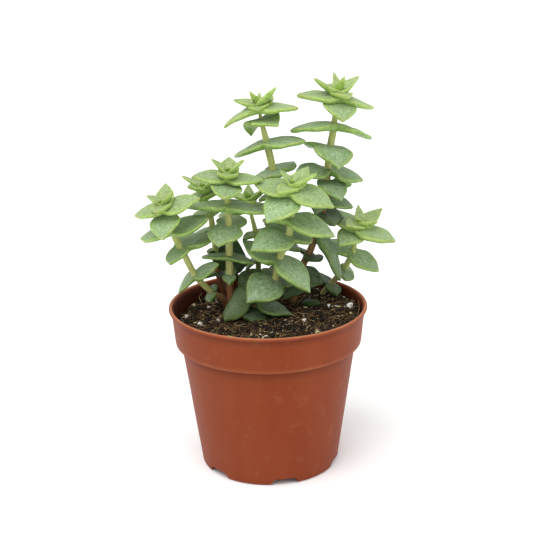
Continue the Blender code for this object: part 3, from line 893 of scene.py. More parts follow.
    def build(self, finish: bpy.types.Material) -> bpy.types.Object:
        """Turn the pot, open its notches and drains, and dress it.

        Args:
            finish: the pot's plastic.

        Returns:
            The pot's piece.
        """
        shape = self.opened()
        self.mark(shape)
        return add_piece("nursery_pot", shape, [finish], Slot.PLASTIC, ("pot",), sharp_degrees=40.0)


class Sizes(NamedTuple):
    """Two ranges of sizes: how often the common one is drawn, that range, and the rarer one."""

    often: float
    common: tuple[float, float]
    rare: tuple[float, float]

    def draw(self, source: random.Random) -> float:
        """Draw a size."""
        return source.uniform(*self.common) if source.random() < self.often else source.uniform(*self.rare)


def lie(draw: random.Random, pitch: float, roll: float) -> Euler:
    """How a loose bit lies: tipped by up to two angles, and turned anyhow."""
    return Euler([draw.uniform(-pitch, pitch), draw.uniform(-roll, roll), draw.uniform(0.0, ABOUT_A_TURN)])


class Lump(NamedTuple):
    """An irregular lump: its centre, lie, half sizes, tone, roughness and how fine its ball is."""

    place: Vector
    turn: Euler
    half: Vector
    tone: float
    rough: float
    subdivisions: int = 1


@dataclass
class PottingSoil:
    """The soil and everything loose on it."""

    pot: NurseryPot
    level: float = 80.0
    rise_per_x: float = 0.055
    crumb_height: float = 1.1
    crumb_spacing: float = 7.0
    gap: float = 0.36
    clearance: float = 0.3
    collar_z: tuple[float, ...] = (76.0, 72.0)
    body_z: tuple[float, ...] = (50.0, 30.0, 14.0)
    steps: int = 230
    ring_mm: float = 0.9
    clod_mm: float = 3.4
    clod_layer: float = 11.0
    clod_height: float = 1.3
    grit_mm: float = 1.3
    grit_layer: float = 23.0
    grit_height: float = 0.8
    top_depth: float = 1.0
    painted_light_per_mm: float = 0.2
    darker: float = 0.05
    keep_inside: float = 1.2
    seed: int = 7
    lump_scale: float = 1.7
    crumbs: int = 2600
    crumb_sizes: Sizes = Sizes(0.68, (0.35, 0.8), (0.8, 2.2))
    crumb_halves: tuple[tuple[float, float], ...] = ((0.8, 1.3), (0.7, 1.0), (0.5, 0.8))
    crumb_lift: float = 0.25
    crumb_tones: tuple[float, ...] = (-0.1, 0.0, 0.05, 0.12, 0.3)
    chips: int = 620
    chip_lengths: Sizes = Sizes(0.75, (1.2, 3.0), (3.0, 5.5))
    chip_half_widths: tuple[float, float] = (0.25, 0.75)
    chip_half_thickness: float = 0.25
    chip_lifts: tuple[float, float] = (0.3, 0.9)
    fine_perlite: int = 34
    fine_perlite_sizes: tuple[float, float] = (0.5, 1.1)
    fine_perlite_tones: tuple[float, float] = (0.2, 1.0)
    perlite_halves: tuple[float, ...] = (0.56, 0.46, 0.38)
    perlite_lift: float = 0.3
    specks: int = 150
    speck_lengths: tuple[float, float] = (0.5, 1.3)
    speck_widths: tuple[float, float] = (0.3, 0.6)
    flake_half_thickness: float = 0.28
    flake_lift: float = 0.9
    fine_flake_from: float = 2.0
    flake_pitches: tuple[float, float] = (0.1, 0.5)
    flake_roll: float = 0.25
    edge_margin: float = 0.5
    small_margin: float = 1.5
    fibres: int = 3000
    fibre_lengths: Sizes = Sizes(0.75, (1.5, 4.2), (4.2, 9.5))
    fibre_radii: tuple[float, float] = (0.08, 0.18)
    fibre_lifts: tuple[float, float] = (0.2, 1.5)
    fibre_tilts: tuple[float, float] = (-0.35, 0.4)
    fibre_curve: float = 0.9
    fibre_bends: int = 5
    fibre_sides: int = 3
    fibre_lift: float = 0.3
    fibre_arch: float = 0.3
    fibre_clear: float = 0.3
    fibre_darkening: float = 1.5
    strand_tip: float = 0.45
    stalk_sides: int = 8
    stalk_clear: float = -0.6
    stalk_shares: tuple[float, ...] = (0.33, 0.67, 1.0)
    stalk_kink: float = 0.25
    stalk_kink_mm: float = 2.5
    # The larger perlite grains where the photograph shows them: x, y, size and tone
    perlite: tuple[tuple[float, float, float, float], ...] = (
        (-32.2, 19.4, 2.3, 0.9), (-40.6, 11.5, 1.4, 0.6), (-36.0, -6.2, 2.8, 0.9), (-26.6, -2.0, 1.9, 0.8),
        (-28.1, 27.4, 1.5, 0.3), (-43.6, 5.0, 2.2, 0.4), (-4.3, -28.1, 1.6, 0.8), (5.7, -25.8, 1.7, 0.8),
        (32.9, 6.9, 2.3, 1.0), (36.4, 6.2, 1.9, 0.9), (43.9, 3.4, 3.5, 1.0), (41.0, 4.4, 1.7, 0.9),
        (43.6, -3.6, 1.6, 0.1), (44.8, -7.9, 1.3, 0.8), (40.3, 32.0, 1.9, 0.95), (19.1, -10.7, 2.5, 0.95),
        (23.4, -29.8, 1.4, 0.9), (35.3, -18.0, 1.1, 0.3), (45.1, 23.8, 1.2, 0.6), (35.2, 17.0, 1.3, 0.5),
        (8.8, -10.4, 1.5, 0.6), (-11.7, -9.4, 1.2, 0.5), (-44.0, 24.9, 2.0, 0.2), (18.2, -18.9, 1.1, 0.2),
        (-14.0, 38.0, 2.0, 0.9), (12.0, 44.0, 2.4, 0.9), (29.0, 40.0, 1.7, 0.8), (-30.0, 39.0, 1.8, 0.9))
    # The larger flakes: x, y, length, width and degrees of turn
    flakes: tuple[tuple[float, float, float, float, float], ...] = (
        (-18.7, -28.4, 4.8, 2.8, 8.0), (-1.8, -31.6, 3.8, 2.2, 40.0), (1.6, -28.6, 3.2, 1.5, 65.0),
        (8.3, -20.5, 5.2, 2.4, 5.0), (25.3, -30.4, 2.9, 2.4, 30.0), (27.1, 26.8, 3.4, 0.9, 20.0),
        (29.4, 28.0, 3.0, 0.8, 120.0), (31.0, 26.0, 3.4, 0.8, -15.0), (19.7, 8.1, 2.6, 0.7, -10.0),
        (33.5, 25.5, 2.2, 0.7, 60.0), (-9.0, -18.0, 2.4, 0.8, 75.0), (38.0, 3.0, 2.6, 0.7, 30.0),
        (-22.0, 40.0, 3.6, 1.4, 15.0), (6.0, 40.0, 3.2, 1.2, 100.0))
    # The dry stalks, one lying at the left, one standing in it in two runs, and three at the
    # right: points as x, y and height over the soil, then radius and tone
    stalks: tuple[tuple[tuple[tuple[float, float, float], ...], float, float], ...] = (
        (((-45.5, 21.0, 0.9), (-41.0, 22.5, 1.2), (-36.7, 23.0, 1.6), (-32.5, 24.2, 1.7),
          (-28.0, 25.5, 1.1)), 0.36, 0.2),
        (((-39.6, 33.0, 4.4), (-38.3, 30.0, 3.4), (-37.0, 27.0, 2.2), (-35.6, 24.0, 0.8)), 0.2, 0.5),
        (((-41.5, 35.0, 3.2), (-39.6, 33.0, 4.4), (-38.6, 33.6, 5.4)), 0.18, 0.45),
        (((45.0, -14.0, 0.6), (47.0, -8.0, 1.4), (48.2, -2.0, 2.6), (49.0, 4.0, 4.2)), 0.16, 0.4),
        (((38.0, -5.0, 0.8), (42.0, 1.0, 1.5), (45.5, 6.5, 1.6), (48.0, 12.0, 2.4)), 0.17, 0.3),
        (((30.0, 9.0, 1.2), (36.0, 12.0, 1.8), (42.0, 12.5, 1.6), (47.5, 14.0, 2.4)), 0.17, 0.2))

    def height(self, x: float, y: float) -> float:
        """The soil's broad surface, as the solid has it."""
        place = Vector((x, y, 0.0)) / self.crumb_spacing
        return self.level + self.rise_per_x * x + self.crumb_height * noise.noise(place)

    def surface(self, x: float, y: float) -> float:
        """The height of the surface with its clods and grit.

        Args:
            x: the place's x.
            y: the place's y.

        Returns:
            The height.
        """
        clod = noise.noise(Vector((x, y, self.clod_layer)) / self.clod_mm)
        grit = noise.noise(Vector((x, y, self.grit_layer)) / self.grit_mm)
        return self.height(x, y) + self.clod_height * clod + self.grit_height * abs(grit)

    def edge(self, height: float) -> float:
        """The soil's radius at the pot's wall."""
        return self.pot.collar_radius(height) - self.pot.wall - self.gap

    def bed(self, finish: bpy.types.Material) -> bpy.types.Object:
        """The filling itself, with a rough top.

        Args:
            finish: the peat.

        Returns:
            The soil's piece.
        """
        pot, rim = self.pot, self.edge(self.level)
        floor_z = pot.floor_underside_z + pot.wall + self.clearance
        step_z = pot.collar_foot_z + pot.wall + self.clearance
        inset = pot.wall + self.gap
        rings = round(rim / self.ring_mm)
        section = [ProfilePoint(rim * ring / rings, self.level) for ring in range(rings + 1)]
        section += [ProfilePoint(pot.collar_radius(z) - inset, z) for z in (*self.collar_z, step_z)]
        section += [ProfilePoint(pot.body_radius(z) - inset, z) for z in (step_z, *self.body_z, floor_z)]
        section += [ProfilePoint(0.5 * pot.body_radius(floor_z), floor_z), ProfilePoint(0.0, floor_z)]
        shape = spin_section(section, self.steps)
        tone = trait(shape, Trait.TONE)
        for vertex in shape.verts:
            if vertex.co.z > self.level - self.top_depth:
                x, y = vertex.co.x, vertex.co.y
                reach = math.hypot(x, y)
                vertex.co.z = self.surface(x, y)
                if reach > rim - 0.5 * self.ring_mm:
                    fit = self.edge(vertex.co.z) / reach
                    vertex.co.x *= fit
                    vertex.co.y *= fit
                # Painted shade in the hollows and painted light on the tops, by the height over the broad
                # surface
                vertex[tone] = self.painted_light_per_mm * (vertex.co.z - self.height(x, y)) - self.darker
        return add_piece("soil_bed", shape, [finish], Slot.SOIL, ("soil",))

    def kept(self, x: float, y: float, margin: float) -> tuple[float, float]:
        """Move a place in from the pot's wall, if it lies too close to it.

        Args:
            x: its x.
            y: its y.
            margin: the size of what lies there.

        Returns:
            The place to use.
        """
        fit = min(1.0, (self.edge(self.level) - self.keep_inside - margin) / max(1.0, math.hypot(x, y)))
        return x * fit, y * fit

    def spot(self, draw: random.Random, margin: float) -> tuple[float, float]:
        """A place on the soil, drawn evenly over its area.

        Args:
            draw: the seeded source of numbers.
            margin: how far inside the soil's edge it stays.

        Returns:
            Its x and y.
        """
        reach = (self.edge(self.level) - margin) * math.sqrt(draw.random())
        turn = draw.uniform(0.0, 2.0 * math.pi)
        return reach * math.cos(turn), reach * math.sin(turn)

    def strewn(self, name: str, lumps: Iterator[Lump], finish: bpy.types.Material,
               sharp_degrees: float = 25.0) -> bpy.types.Object:
        """Build a piece of many irregular lumps.

        Args:
            name: the piece's name.
            lumps: the lumps, in the order in which they are drawn.
            finish: their material.
            sharp_degrees: an edge that bends more than this stays sharp.

        Returns:
            The piece.
        """
        shape = bmesh.new()
        trait(shape, Trait.TONE)
        for lump in lumps:
            ball = bmesh.new()
            bmesh.ops.create_icosphere(ball, subdivisions=lump.subdivisions, radius=1.0)
            layer = trait(ball, Trait.TONE)
            turned = lump.turn.to_matrix()
            for vertex in ball.verts:
                bend = 1.0 + lump.rough * noise.noise(vertex.co * self.lump_scale + lump.place)
                vertex.co = lump.place + turned @ Vector(a * b * bend for a, b in zip(vertex.co, lump.half))
                vertex[layer] = lump.tone
            gather(shape, ball)
        return add_piece(name, shape, [finish], Slot.SOIL, sharp_degrees=sharp_degrees)

    def peat_crumbs(self, draw: random.Random) -> Iterator[Lump]:
        """Loose peat crumbs all over the soil.

        Args:
            draw: the seeded source of numbers.

        Yields:
            Each crumb.
        """
        for _ in range(self.crumbs):
            size = self.crumb_sizes.draw(draw)
            x, y = self.spot(draw, size + self.edge_margin)
            place = Vector((x, y, self.surface(x, y) + self.crumb_lift * size))
            half = Vector([size * draw.uniform(*share) for share in self.crumb_halves])
            turn = lie(draw, pitch=0.6, roll=0.6)
            yield Lump(place, turn, half, draw.choice(self.crumb_tones), rough=0.5)

    def bark_chips(self, draw: random.Random) -> Iterator[Lump]:
        """Flat brown chips of bark.

        Args:
            draw: the seeded source of numbers.

        Yields:
            Each chip.
        """
        for _ in range(self.chips):
            length = self.chip_lengths.draw(draw)
            x, y = self.spot(draw, 0.5 * length + self.edge_margin)
            place = Vector((x, y, self.surface(x, y) + draw.uniform(*self.chip_lifts)))
            turn = lie(draw, pitch=0.5, roll=0.35)
            half = Vector((0.5 * length, draw.uniform(*self.chip_half_widths), self.chip_half_thickness))
            yield Lump(place, turn, half, draw.random(), rough=0.5)

    def perlite_grains(self, draw: random.Random) -> Iterator[Lump]:
        """Perlite: the grains that the photograph shows, and finer ones between them.

        Args:
            draw: the seeded source of numbers.

        Yields:
            Each grain.
        """
        grains = list(self.perlite)
        for _ in range(self.fine_perlite):
            x, y = self.spot(draw, self.small_margin)
            size, tone = draw.uniform(*self.fine_perlite_sizes), draw.uniform(*self.fine_perlite_tones)
            grains.append((x, y, size, tone))
        for x, y, size, tone in grains:
            x, y = self.kept(x, y, 0.5 * size)
            half = Vector([share * size for share in self.perlite_halves])
            place = Vector((x, y, self.surface(x, y) + self.perlite_lift * size))
            yield Lump(place, lie(draw, pitch=0.5, roll=0.5), half, tone, rough=0.85, subdivisions=2)

    def pale_flakes(self, draw: random.Random) -> Iterator[Lump]:
        """Thin shed leaf flakes: those that the photograph shows, and small specks between them.

        Args:
            draw: the seeded source of numbers.

        Yields:
            Each flake.
        """
        flakes = list(self.flakes)
        for _ in range(self.specks):
            x, y = self.spot(draw, self.small_margin)
            flakes.append((x, y, draw.uniform(*self.speck_lengths), draw.uniform(*self.speck_widths),
                           draw.uniform(0.0, 180.0)))
        for x, y, length, width, degrees in flakes:
            x, y = self.kept(x, y, 0.5 * length)
            place = Vector((x, y, self.surface(x, y) + self.flake_lift))
            pitch, roll = draw.uniform(*self.flake_pitches), draw.uniform(-self.flake_roll, self.flake_roll)
            turn = Euler([pitch, roll, math.radians(degrees)])
            half = Vector((0.5 * length, 0.5 * width, self.flake_half_thickness))
            fineness = 2 if length > self.fine_flake_from else 1
            yield Lump(place, turn, half, draw.random(), rough=0.6, subdivisions=fineness)

    def strand(self, shape: bmesh.types.BMesh, points: list[Vector], radius: float, sides: int,
               tone: float) -> None:
        """Add one thin strand that narrows at its ends.

        Args:
            shape: the mesh that it is added to.
            points: its centre line.
            radius: its radius in the middle.
            sides: how many sides it has.
            tone: its own place among the colours.
        """
        tube = bmesh.new()
        layer = trait(tube, Trait.TONE)
        last = len(points) - 1
        swell = [math.sin(math.pi * index / last) for index in range(last + 1)]
        radii = [radius * blend(self.strand_tip, 1.0, share) for share in swell]
        for vertex, _, _ in sweep(tube, points, radii, sides):
            vertex[layer] = tone
        gather(shape, tube)

    def root_fibres(self, draw: random.Random, finish: bpy.types.Material) -> bpy.types.Object:
        """Short curved fibres that lie over the soil in every direction.

        Args:
            draw: the seeded source of numbers.
            finish: the fibre.

        Returns:
            The fibres' piece.
        """
        shape = bmesh.new()
        trait(shape, Trait.TONE)
        limit = self.edge(self.level) - self.fibre_clear
        for _ in range(self.fibres):
            length = self.fibre_lengths.draw(draw)
            x, y = self.spot(draw, 0.5 * length)
            turn, curve = draw.uniform(0.0, ABOUT_A_TURN), draw.uniform(-self.fibre_curve, self.fibre_curve)
            lift, tilt = draw.uniform(*self.fibre_lifts), draw.uniform(*self.fibre_tilts)
            points = []
            for step in range(self.fibre_bends + 1):
                share = step / self.fibre_bends - 0.5
                angle = turn + curve * share
                px, py = x + length * share * math.cos(angle), y + length * share * math.sin(angle)
                reach = math.hypot(px, py)
                if reach > limit:
                    px, py = px * limit / reach, py * limit / reach
                arch = self.fibre_arch * math.cos(math.pi * share)
                rise = self.height(px, py) + self.fibre_lift + lift + arch + tilt * share * length
                points.append(Vector((px, py, rise)))
            radius, tone = draw.uniform(*self.fibre_radii), draw.random() ** self.fibre_darkening
            self.strand(shape, points, radius, self.fibre_sides, tone)
        return add_piece("root_fibres", shape, [finish], Slot.SOIL)

    def dry_stalks(self, finish: bpy.types.Material) -> bpy.types.Object:
        """The few longer dry stalks.

        Args:
            finish: the dry stalk.

        Returns:
            The stalks' piece.
        """
        shape = bmesh.new()
        trait(shape, Trait.TONE)
        # Vectors of noise are shifted by a random state, which the clock seeds unless the script does
        noise.seed_set(self.seed)
        for knots, radius, tone in self.stalks:
            spots = [self.kept(x, y, self.stalk_clear) + (lift,) for x, y, lift in knots]
            points = [Vector((x, y, self.height(x, y) + lift)) for x, y, lift in spots]
            fine = [points[0]]
            for before, after in zip(points, points[1:]):
                fine += [before.lerp(after, share) for share in self.stalk_shares]
            for point in fine:
                point += self.stalk_kink * noise.noise_vector(point / self.stalk_kink_mm)
            self.strand(shape, fine, radius, self.stalk_sides, tone)
        return add_piece("dry_stalks", shape, [finish], Slot.SOIL)

    def build(self) -> None:
        """Lay the bed and strew everything over it, each kind by its own seed."""
        peat = DampPeat().material()
        bark = DryMatter("pine_bark", ("#1A110A", "#38251A", "#62442A", "#A08056", "#E0CEA2"),
                         spot_depth=0.35)
        fibre = DryMatter("coir_fibre", ("#26190E", "#452E1B", "#6C4A2B", "#8F6C42", "#B39460", "#E0CA98"))
        perlite = DryMatter("expanded_perlite", ("#CFC686", "#CBC1B2", "#DDDAD0", "#EBE9E2"),
                            roughness=0.9, spot_mm=0.7, spot_depth=0.15)
        flake = DryMatter("shed_leaf", ("#DDE0A8", "#C7D08E", "#E4E6C2"),
                          roughness=0.6, spot_mm=1.2, spot_depth=0.15)
        stalk = DryMatter("dry_stalk", ("#5B3B24", "#8A6A42", "#B59E68", "#D6CFAE"), roughness=0.7)
        for_crumbs, for_grains, for_flakes, for_chips, for_fibres = (
            random.Random(self.seed + number) for number in range(5))
        self.bed(peat)
        self.strewn("peat_crumbs", self.peat_crumbs(for_crumbs), peat)
        self.strewn("bark_chips", self.bark_chips(for_chips), bark.material())
        self.root_fibres(for_fibres, fibre.material())
        self.strewn("perlite_grains", self.perlite_grains(for_grains), perlite.material())
        self.strewn("pale_flakes", self.pale_flakes(for_flakes), flake.material(), sharp_degrees=60.0)
        self.dry_stalks(stalk.material())


class Leaf(NamedTuple):
    """One leaf: its twist in degrees, reach and rise, then what sets it apart from its fellows.

    That is how far its edges stand up, how much painted shade darkens it, how many degrees it is
    rolled about its length, how broad it is for its reach, how much blunter its tip is, and how plump it is.
    """

    twist: float
    reach: float
    rise: float
    fold: float = 0.0
    dark: float = 0.0
    roll: float = 0.0
    broad: float = 1.0
    blunt: float = 0.0
    plump: float = 1.0


class Pair(NamedTuple):
    """Two facing leaves at a height."""

    height: float
    first: tuple[float, ...]
    second: tuple[float, ...]


@dataclass
class Shoot:
    """One shoot: where it stands and leans, and its leaf pairs from the tip down.

    The pairs at even places spread along the shoot's turn, and the odd ones at right angles.
    """

    turn: float
    route: list[tuple[float, ...]]
    pairs: list[Pair]
    girth: float = 1.0
    slimness: float = 1.0
    woody_from: float = 96.0
    woodiness: float = 0.55


@dataclass(frozen=True)
class LeafForm:
    """How a leaf's size turns into its shape, and its place on the stem into its age."""

    sides: int = 28
    rings: int = 42
    bud_rings: int = 30
    small_below: float = 10.0
    bud_reach: float = 8.0
    old_reach: float = 20.0
    young_depth: float = 14.0
    old_depth: float = 34.0
    young_width: float = 0.82
    old_width: float = 0.92
    young_cup: float = 0.24
    old_cup: float = -0.03
    young_joint_width: float = 0.86
    old_joint_width: float = 0.56
    young_widest_at: float = 0.2
    old_widest_at: float = 0.36
    young_fullness: float = 1.4
    old_fullness: float = 1.9
    fuller_by: tuple[float, float] = (-0.15, 0.2)
    tip_point: float = 0.28
    point_from: float = 0.72
    own_from: float = 0.3
    young_thickness: float = 0.25
    old_thickness: float = 0.2
    young_thinnest: float = 1.2
    old_thinnest: float = 2.5
    tip_thinning: float = 0.45
    tip_thickness: float = 0.15
    young_heel: float = 0.9
    rising_power: float = 1.1
    drooping_power: float = 1.7
    steep_power: float = 0.6
    rounded_from: float = 0.82
    wave: float = 0.75
    wave_mm: float = 8.0
    wave_full_reach: float = 18.0
    wave_full_at: float = 0.5
    own_noise: float = 40.0
    dent: float = 0.14
    dent_mm: float = 2.6
    young_dent: float = 0.4
    dent_full_at: float = 0.3
    sweep: float = 0.05
    longways_mm: float = 20.0
    # A leaf ages as its bud opens, then down the stem, and most of all close over the soil
    opened_age: float = 0.32
    opened_depth: float = 9.0
    lowest_age: float = 0.68
    lowest_depth: float = 95.0
    soil_age: float = 0.45
    soil_age_reach: float = 26.0
    # Painted shade darkens leaves close over the soil
    soil_dark: float = 0.25
    soil_dark_reach: float = 24.0
    tones: tuple[float, float] = (0.93, 1.07)
    tip_rim: float = 0.8
    tip_rim_from: float = 0.95
    rim_lost_by_age: float = 0.35
    rim_lost_in_shade: float = 0.3
    blush_from: float = 0.6
    # From the middle of the face round an edge to the keel, every 15 degrees: how far across as a
    # share of the half width, how high as a share of the thickness, rim colour and back colour
    section_step: float = 15.0
    section: tuple[tuple[float, float, float, float], ...] = (
        (0.0, 0.38, 0.0, 0.0), (0.29, 0.385, 0.0, 0.0), (0.56, 0.39, 0.0, 0.0), (0.78, 0.39, 0.0, 0.0),
        (0.91, 0.375, 0.15, 0.0), (0.97, 0.33, 0.95, 0.1), (1.0, 0.2, 0.5, 0.6), (0.99, 0.0, 0.1, 0.95),
        (0.945, -0.18, 0.0, 1.0), (0.84, -0.35, 0.0, 1.0), (0.63, -0.49, 0.0, 1.0), (0.33, -0.58, 0.0, 1.0),
        (0.0, -0.61, 0.0, 1.0))
    tip_section: tuple[float, float, float, float] = (0.0, 0.0, 1.0, 0.3)

    def maturity(self, leaf: Leaf, depth: float) -> float:
        """How old a leaf looks.

        Args:
            leaf: the leaf.
            depth: how far it is below the shoot's tip.

        Returns:
            0 for a bud's leaf, and 1 for a full-grown one or for a small one low on the shoot.
        """
        by_reach = smooth_step((leaf.reach - self.bud_reach) / (self.old_reach - self.bud_reach))
        return max(by_reach, smooth_step((depth - self.young_depth) / (self.old_depth - self.young_depth)))

    def age(self, grown: float, depth: float, above_soil: float) -> float:
        """How far a leaf's colour has aged.

        Args:
            grown: its maturity.
            depth: how far it is below the shoot's tip.
            above_soil: how far it is above the soil.

        Returns:
            A share from 0 to 1.
        """
        return min(1.0, self.opened_age * grown * smooth_step(depth / self.opened_depth)
                   + self.lowest_age * smooth_step(depth / self.lowest_depth)
                   + self.soil_age * smooth_step(1.0 - above_soil / self.soil_age_reach))

    def outline(self, grown: float, along: float, vary: float) -> float:
        """A leaf's width along its length, as a share of its greatest width.

        Args:
            grown: its maturity.
            along: how far along it, from 0 at the stem to 1 at the tip.
            vary: how much fuller than its fellows it is.

        Returns:
            The share: broad at the joint of a young leaf, and a plain point at its tip.
        """
        joint = blend(self.young_joint_width, self.old_joint_width, grown)
        widest = blend(self.young_widest_at, self.old_widest_at, grown)
        if along < widest:
            return joint + (1.0 - joint) * math.sin(0.5 * math.pi * along / widest)
        power = blend(self.young_fullness, self.old_fullness, grown) + vary
        full = 1.0 - ((along - widest) / (1.0 - widest)) ** power
        return full * (1.0 - self.tip_point * late_rise(along, self.point_from))

    def rise_power(self, leaf: Leaf, grown: float) -> float:
        """How late a leaf bends: a young one rises straight, and a hanging one arches.

        Args:
            leaf: the leaf.
            grown: its maturity.

        Returns:
            The power of the way along it that its rise follows.
        """
        if leaf.rise > 0.0:
            return blend(self.rising_power, self.drooping_power, grown)
        return self.drooping_power + self.steep_power * smooth_step(-leaf.rise / leaf.reach)

    def thick(self, leaf: Leaf, grown: float, along: float) -> float:
        """A leaf's thickness along its length, which goes to little at its tip.

        Args:
            leaf: the leaf.
            grown: its maturity.
            along: how far along it.

        Returns:
            The thickness.
        """
        share = leaf.plump * blend(self.young_thickness, self.old_thickness, grown)
        share *= 1.0 - self.tip_thinning * along
        thinnest = blend(self.young_thinnest, self.old_thinnest, grown)
        thick = max(thinnest, share * math.hypot(leaf.reach, leaf.rise))
        end = max(0.0, (along - self.rounded_from) / (1.0 - self.rounded_from))
        return thick * blend(self.tip_thickness, 1.0, math.sqrt(max(0.0, 1.0 - end * end)))

    def width(self, leaf: Leaf, grown: float) -> float:
        """Old leaves are nearly as wide as they reach, young ones slimmer."""
        return leaf.broad * leaf.reach * blend(self.young_width, self.old_width, grown)

    def cup(self, leaf: Leaf, grown: float) -> float:
        """How far a leaf's edges stand above its middle, as a share of its half width."""
        return blend(self.young_cup, self.old_cup, grown) + leaf.fold

    def around(self, angle: float) -> tuple[float, float, float, float]:
        """The section at an angle round the leaf.

        Args:
            angle: in radians, a quarter turn at the middle of the face.

        Returns:
            The shares across and up, and the rim's and back's share.
        """
        away = math.degrees(math.acos(max(-1.0, min(1.0, math.sin(angle))))) / self.section_step
        index = min(len(self.section) - 2, int(away))
        share = away - index
        low, high = self.section[index], self.section[index + 1]
        across, up, rim, under = (blend(a, b, share) for a, b in zip(low, high))
        return math.copysign(across, math.cos(angle)), up, rim, under


@dataclass
class LeafyStem:
    """One leafy stem with its leaf pairs."""

    name: str
    shoots: list[Shoot]
    soil: PottingSoil
    seed: int
    form: LeafForm = LeafForm()
    stem_radius: float = 1.9
    tip_radius: float = 0.7
    taper_length: float = 25.0
    sides: int = 18
    step_mm: float = 1.2
    root_depth: float = 18.0
    neck_above_soil: float = 1.0
    level_below: float = 14.0
    swelling: float = 0.16
    swelling_mm: float = 1.3
    ridges: int = 5
    ridge_height: float = 0.06
    ridge_twist: float = 0.05
    straw_share: float = 0.34
    straw_depth: float = 70.0
    wood_blends_over: float = 14.0
    soil_shade: float = 0.6
    shade_from: float = 1.5
    shade_blends_over: float = 3.0

    def route(self, shoot: Shoot) -> list[Vector]:
        """Points every millimetre or so along the shoot.

        Args:
            shoot: the shoot.

        Returns:
            The points, from the root to the tip.
        """
        x, y = shoot.route[0]
        neck = self.soil.height(x, y) + self.neck_above_soil
        knots = [Vector((x, y, neck))] + [Vector(point) for point in shoot.route[1:]]
        slopes = [Vector((0.0, 0.0, (knots[1] - knots[0]).length))]
        slopes += [0.5 * (after - before) for before, after in zip(knots, knots[2:])]
        slopes.append(knots[-1] - knots[-2])
        points = [Vector((x, y, neck - self.neck_above_soil - self.root_depth)), knots[0]]
        for start, end, leaving, arriving in zip(knots, knots[1:], slopes, slopes[1:]):
            count = max(1, round((end - start).length / self.step_mm))
            for step in range(1, count + 1):
                t = step / count
                points.append((2 * t**3 - 3 * t**2 + 1) * start + (t**3 - 2 * t**2 + t) * leaving
                              + (3 * t**2 - 2 * t**3) * end + (t**3 - t**2) * arriving)
        return points

    def place_on(self, points: list[Vector], height: float) -> tuple[Vector, Vector]:
        """The point of a route at a height, and the axis that a leaf pair has there.

        Args:
            points: the route.
            height: the pair's height.

        Returns:
            The pair's centre and its axis, which stands upright close to the soil.
        """
        for below, above in zip(points, points[1:]):
            if below.z <= height <= above.z:
                place = below.lerp(above, (height - below.z) / (above.z - below.z))
                free = smooth_step((height - self.soil.height(place.x, place.y)) / self.level_below)
                return place, UPRIGHT.lerp((above - below).normalized(), free).normalized()
        return points[-1], (points[-1] - points[-2]).normalized()

    def add_pair(self, shape: bmesh.types.BMesh, shoot: Shoot, number: int, points: list[Vector],
                 draw: random.Random) -> None:
        """Add one leaf pair, a ball stretched along both leaves.

        Args:
            shape: the mesh that it is added to.
            shoot: the shoot that carries it.
            number: its place from the tip.
            points: the shoot's route.
            draw: the seeded source of numbers.
        """
        form, spec = self.form, shoot.pairs[number]
        leaves = (Leaf(*spec.first), Leaf(*spec.second))
        centre, axis = self.place_on(points, spec.height)
        spreads = []
        for side, leaf in enumerate(leaves):
            angle = math.radians(shoot.turn + 90.0 * (number % 2) + 180.0 * side + leaf.twist)
            flat = Vector((math.cos(angle), math.sin(angle), 0.0))
            spreads.append((flat - flat.dot(axis) * axis).normalized())
        level = (axis.cross(spreads[0]), -axis.cross(spreads[1]))
        crosswise = [across * math.cos(math.radians(leaf.roll)) + axis * math.sin(math.radians(leaf.roll))
                     for across, leaf in zip(level, leaves)]
        middle = 0.5 * (level[0] + level[1])
        depth = points[-1].z - spec.height
        above_soil = spec.height - self.soil.height(centre.x, centre.y)
        grown = [form.maturity(leaf, depth) for leaf in leaves]
        widths = [form.width(leaf, share) for leaf, share in zip(leaves, grown)]
        ages = [form.age(share, depth, above_soil) for share in grown]
        # Painted shade: each leaf's own darkness, and more close over the soil
        low = form.soil_dark * smooth_step(1.0 - above_soil / form.soil_dark_reach)
        darks = [min(1.0, max(0.0, leaf.dark + low)) for leaf in leaves]
        tones = [draw.uniform(*form.tones) for _ in leaves]
        small = max(leaf.reach for leaf in leaves) < form.small_below
        rings = form.bud_rings if small else form.rings
        pair = bmesh.new()
        layers = {which: trait(pair, which) for which in LEAF_TRAITS}
        bmesh.ops.create_uvsphere(pair, u_segments=form.sides, v_segments=rings, radius=1.0)
        seed = Vector((draw.uniform(0.0, form.own_noise), draw.uniform(0.0, form.own_noise), 0.0))
        vary = [leaf.blunt + draw.uniform(*form.fuller_by) for leaf in leaves]
        sweeps = [form.sweep * draw.uniform(-1.0, 1.0) for _ in leaves]
        for vertex in pair.verts:
            # Where the vertex is on the pair: which leaf, how far along it, and where round it
            signed = 1.0 - 2.0 * math.acos(max(-1.0, min(1.0, vertex.co.z))) / math.pi
            side = 0 if signed >= 0.0 else 1
            leaf, along, share = leaves[side], abs(signed), grown[side]
            pole = math.hypot(vertex.co.x, vertex.co.y) < AT_POLE
            round_it = math.atan2(vertex.co.y, vertex.co.x)
            across, up, rim, under = form.tip_section if pole else form.around(round_it)
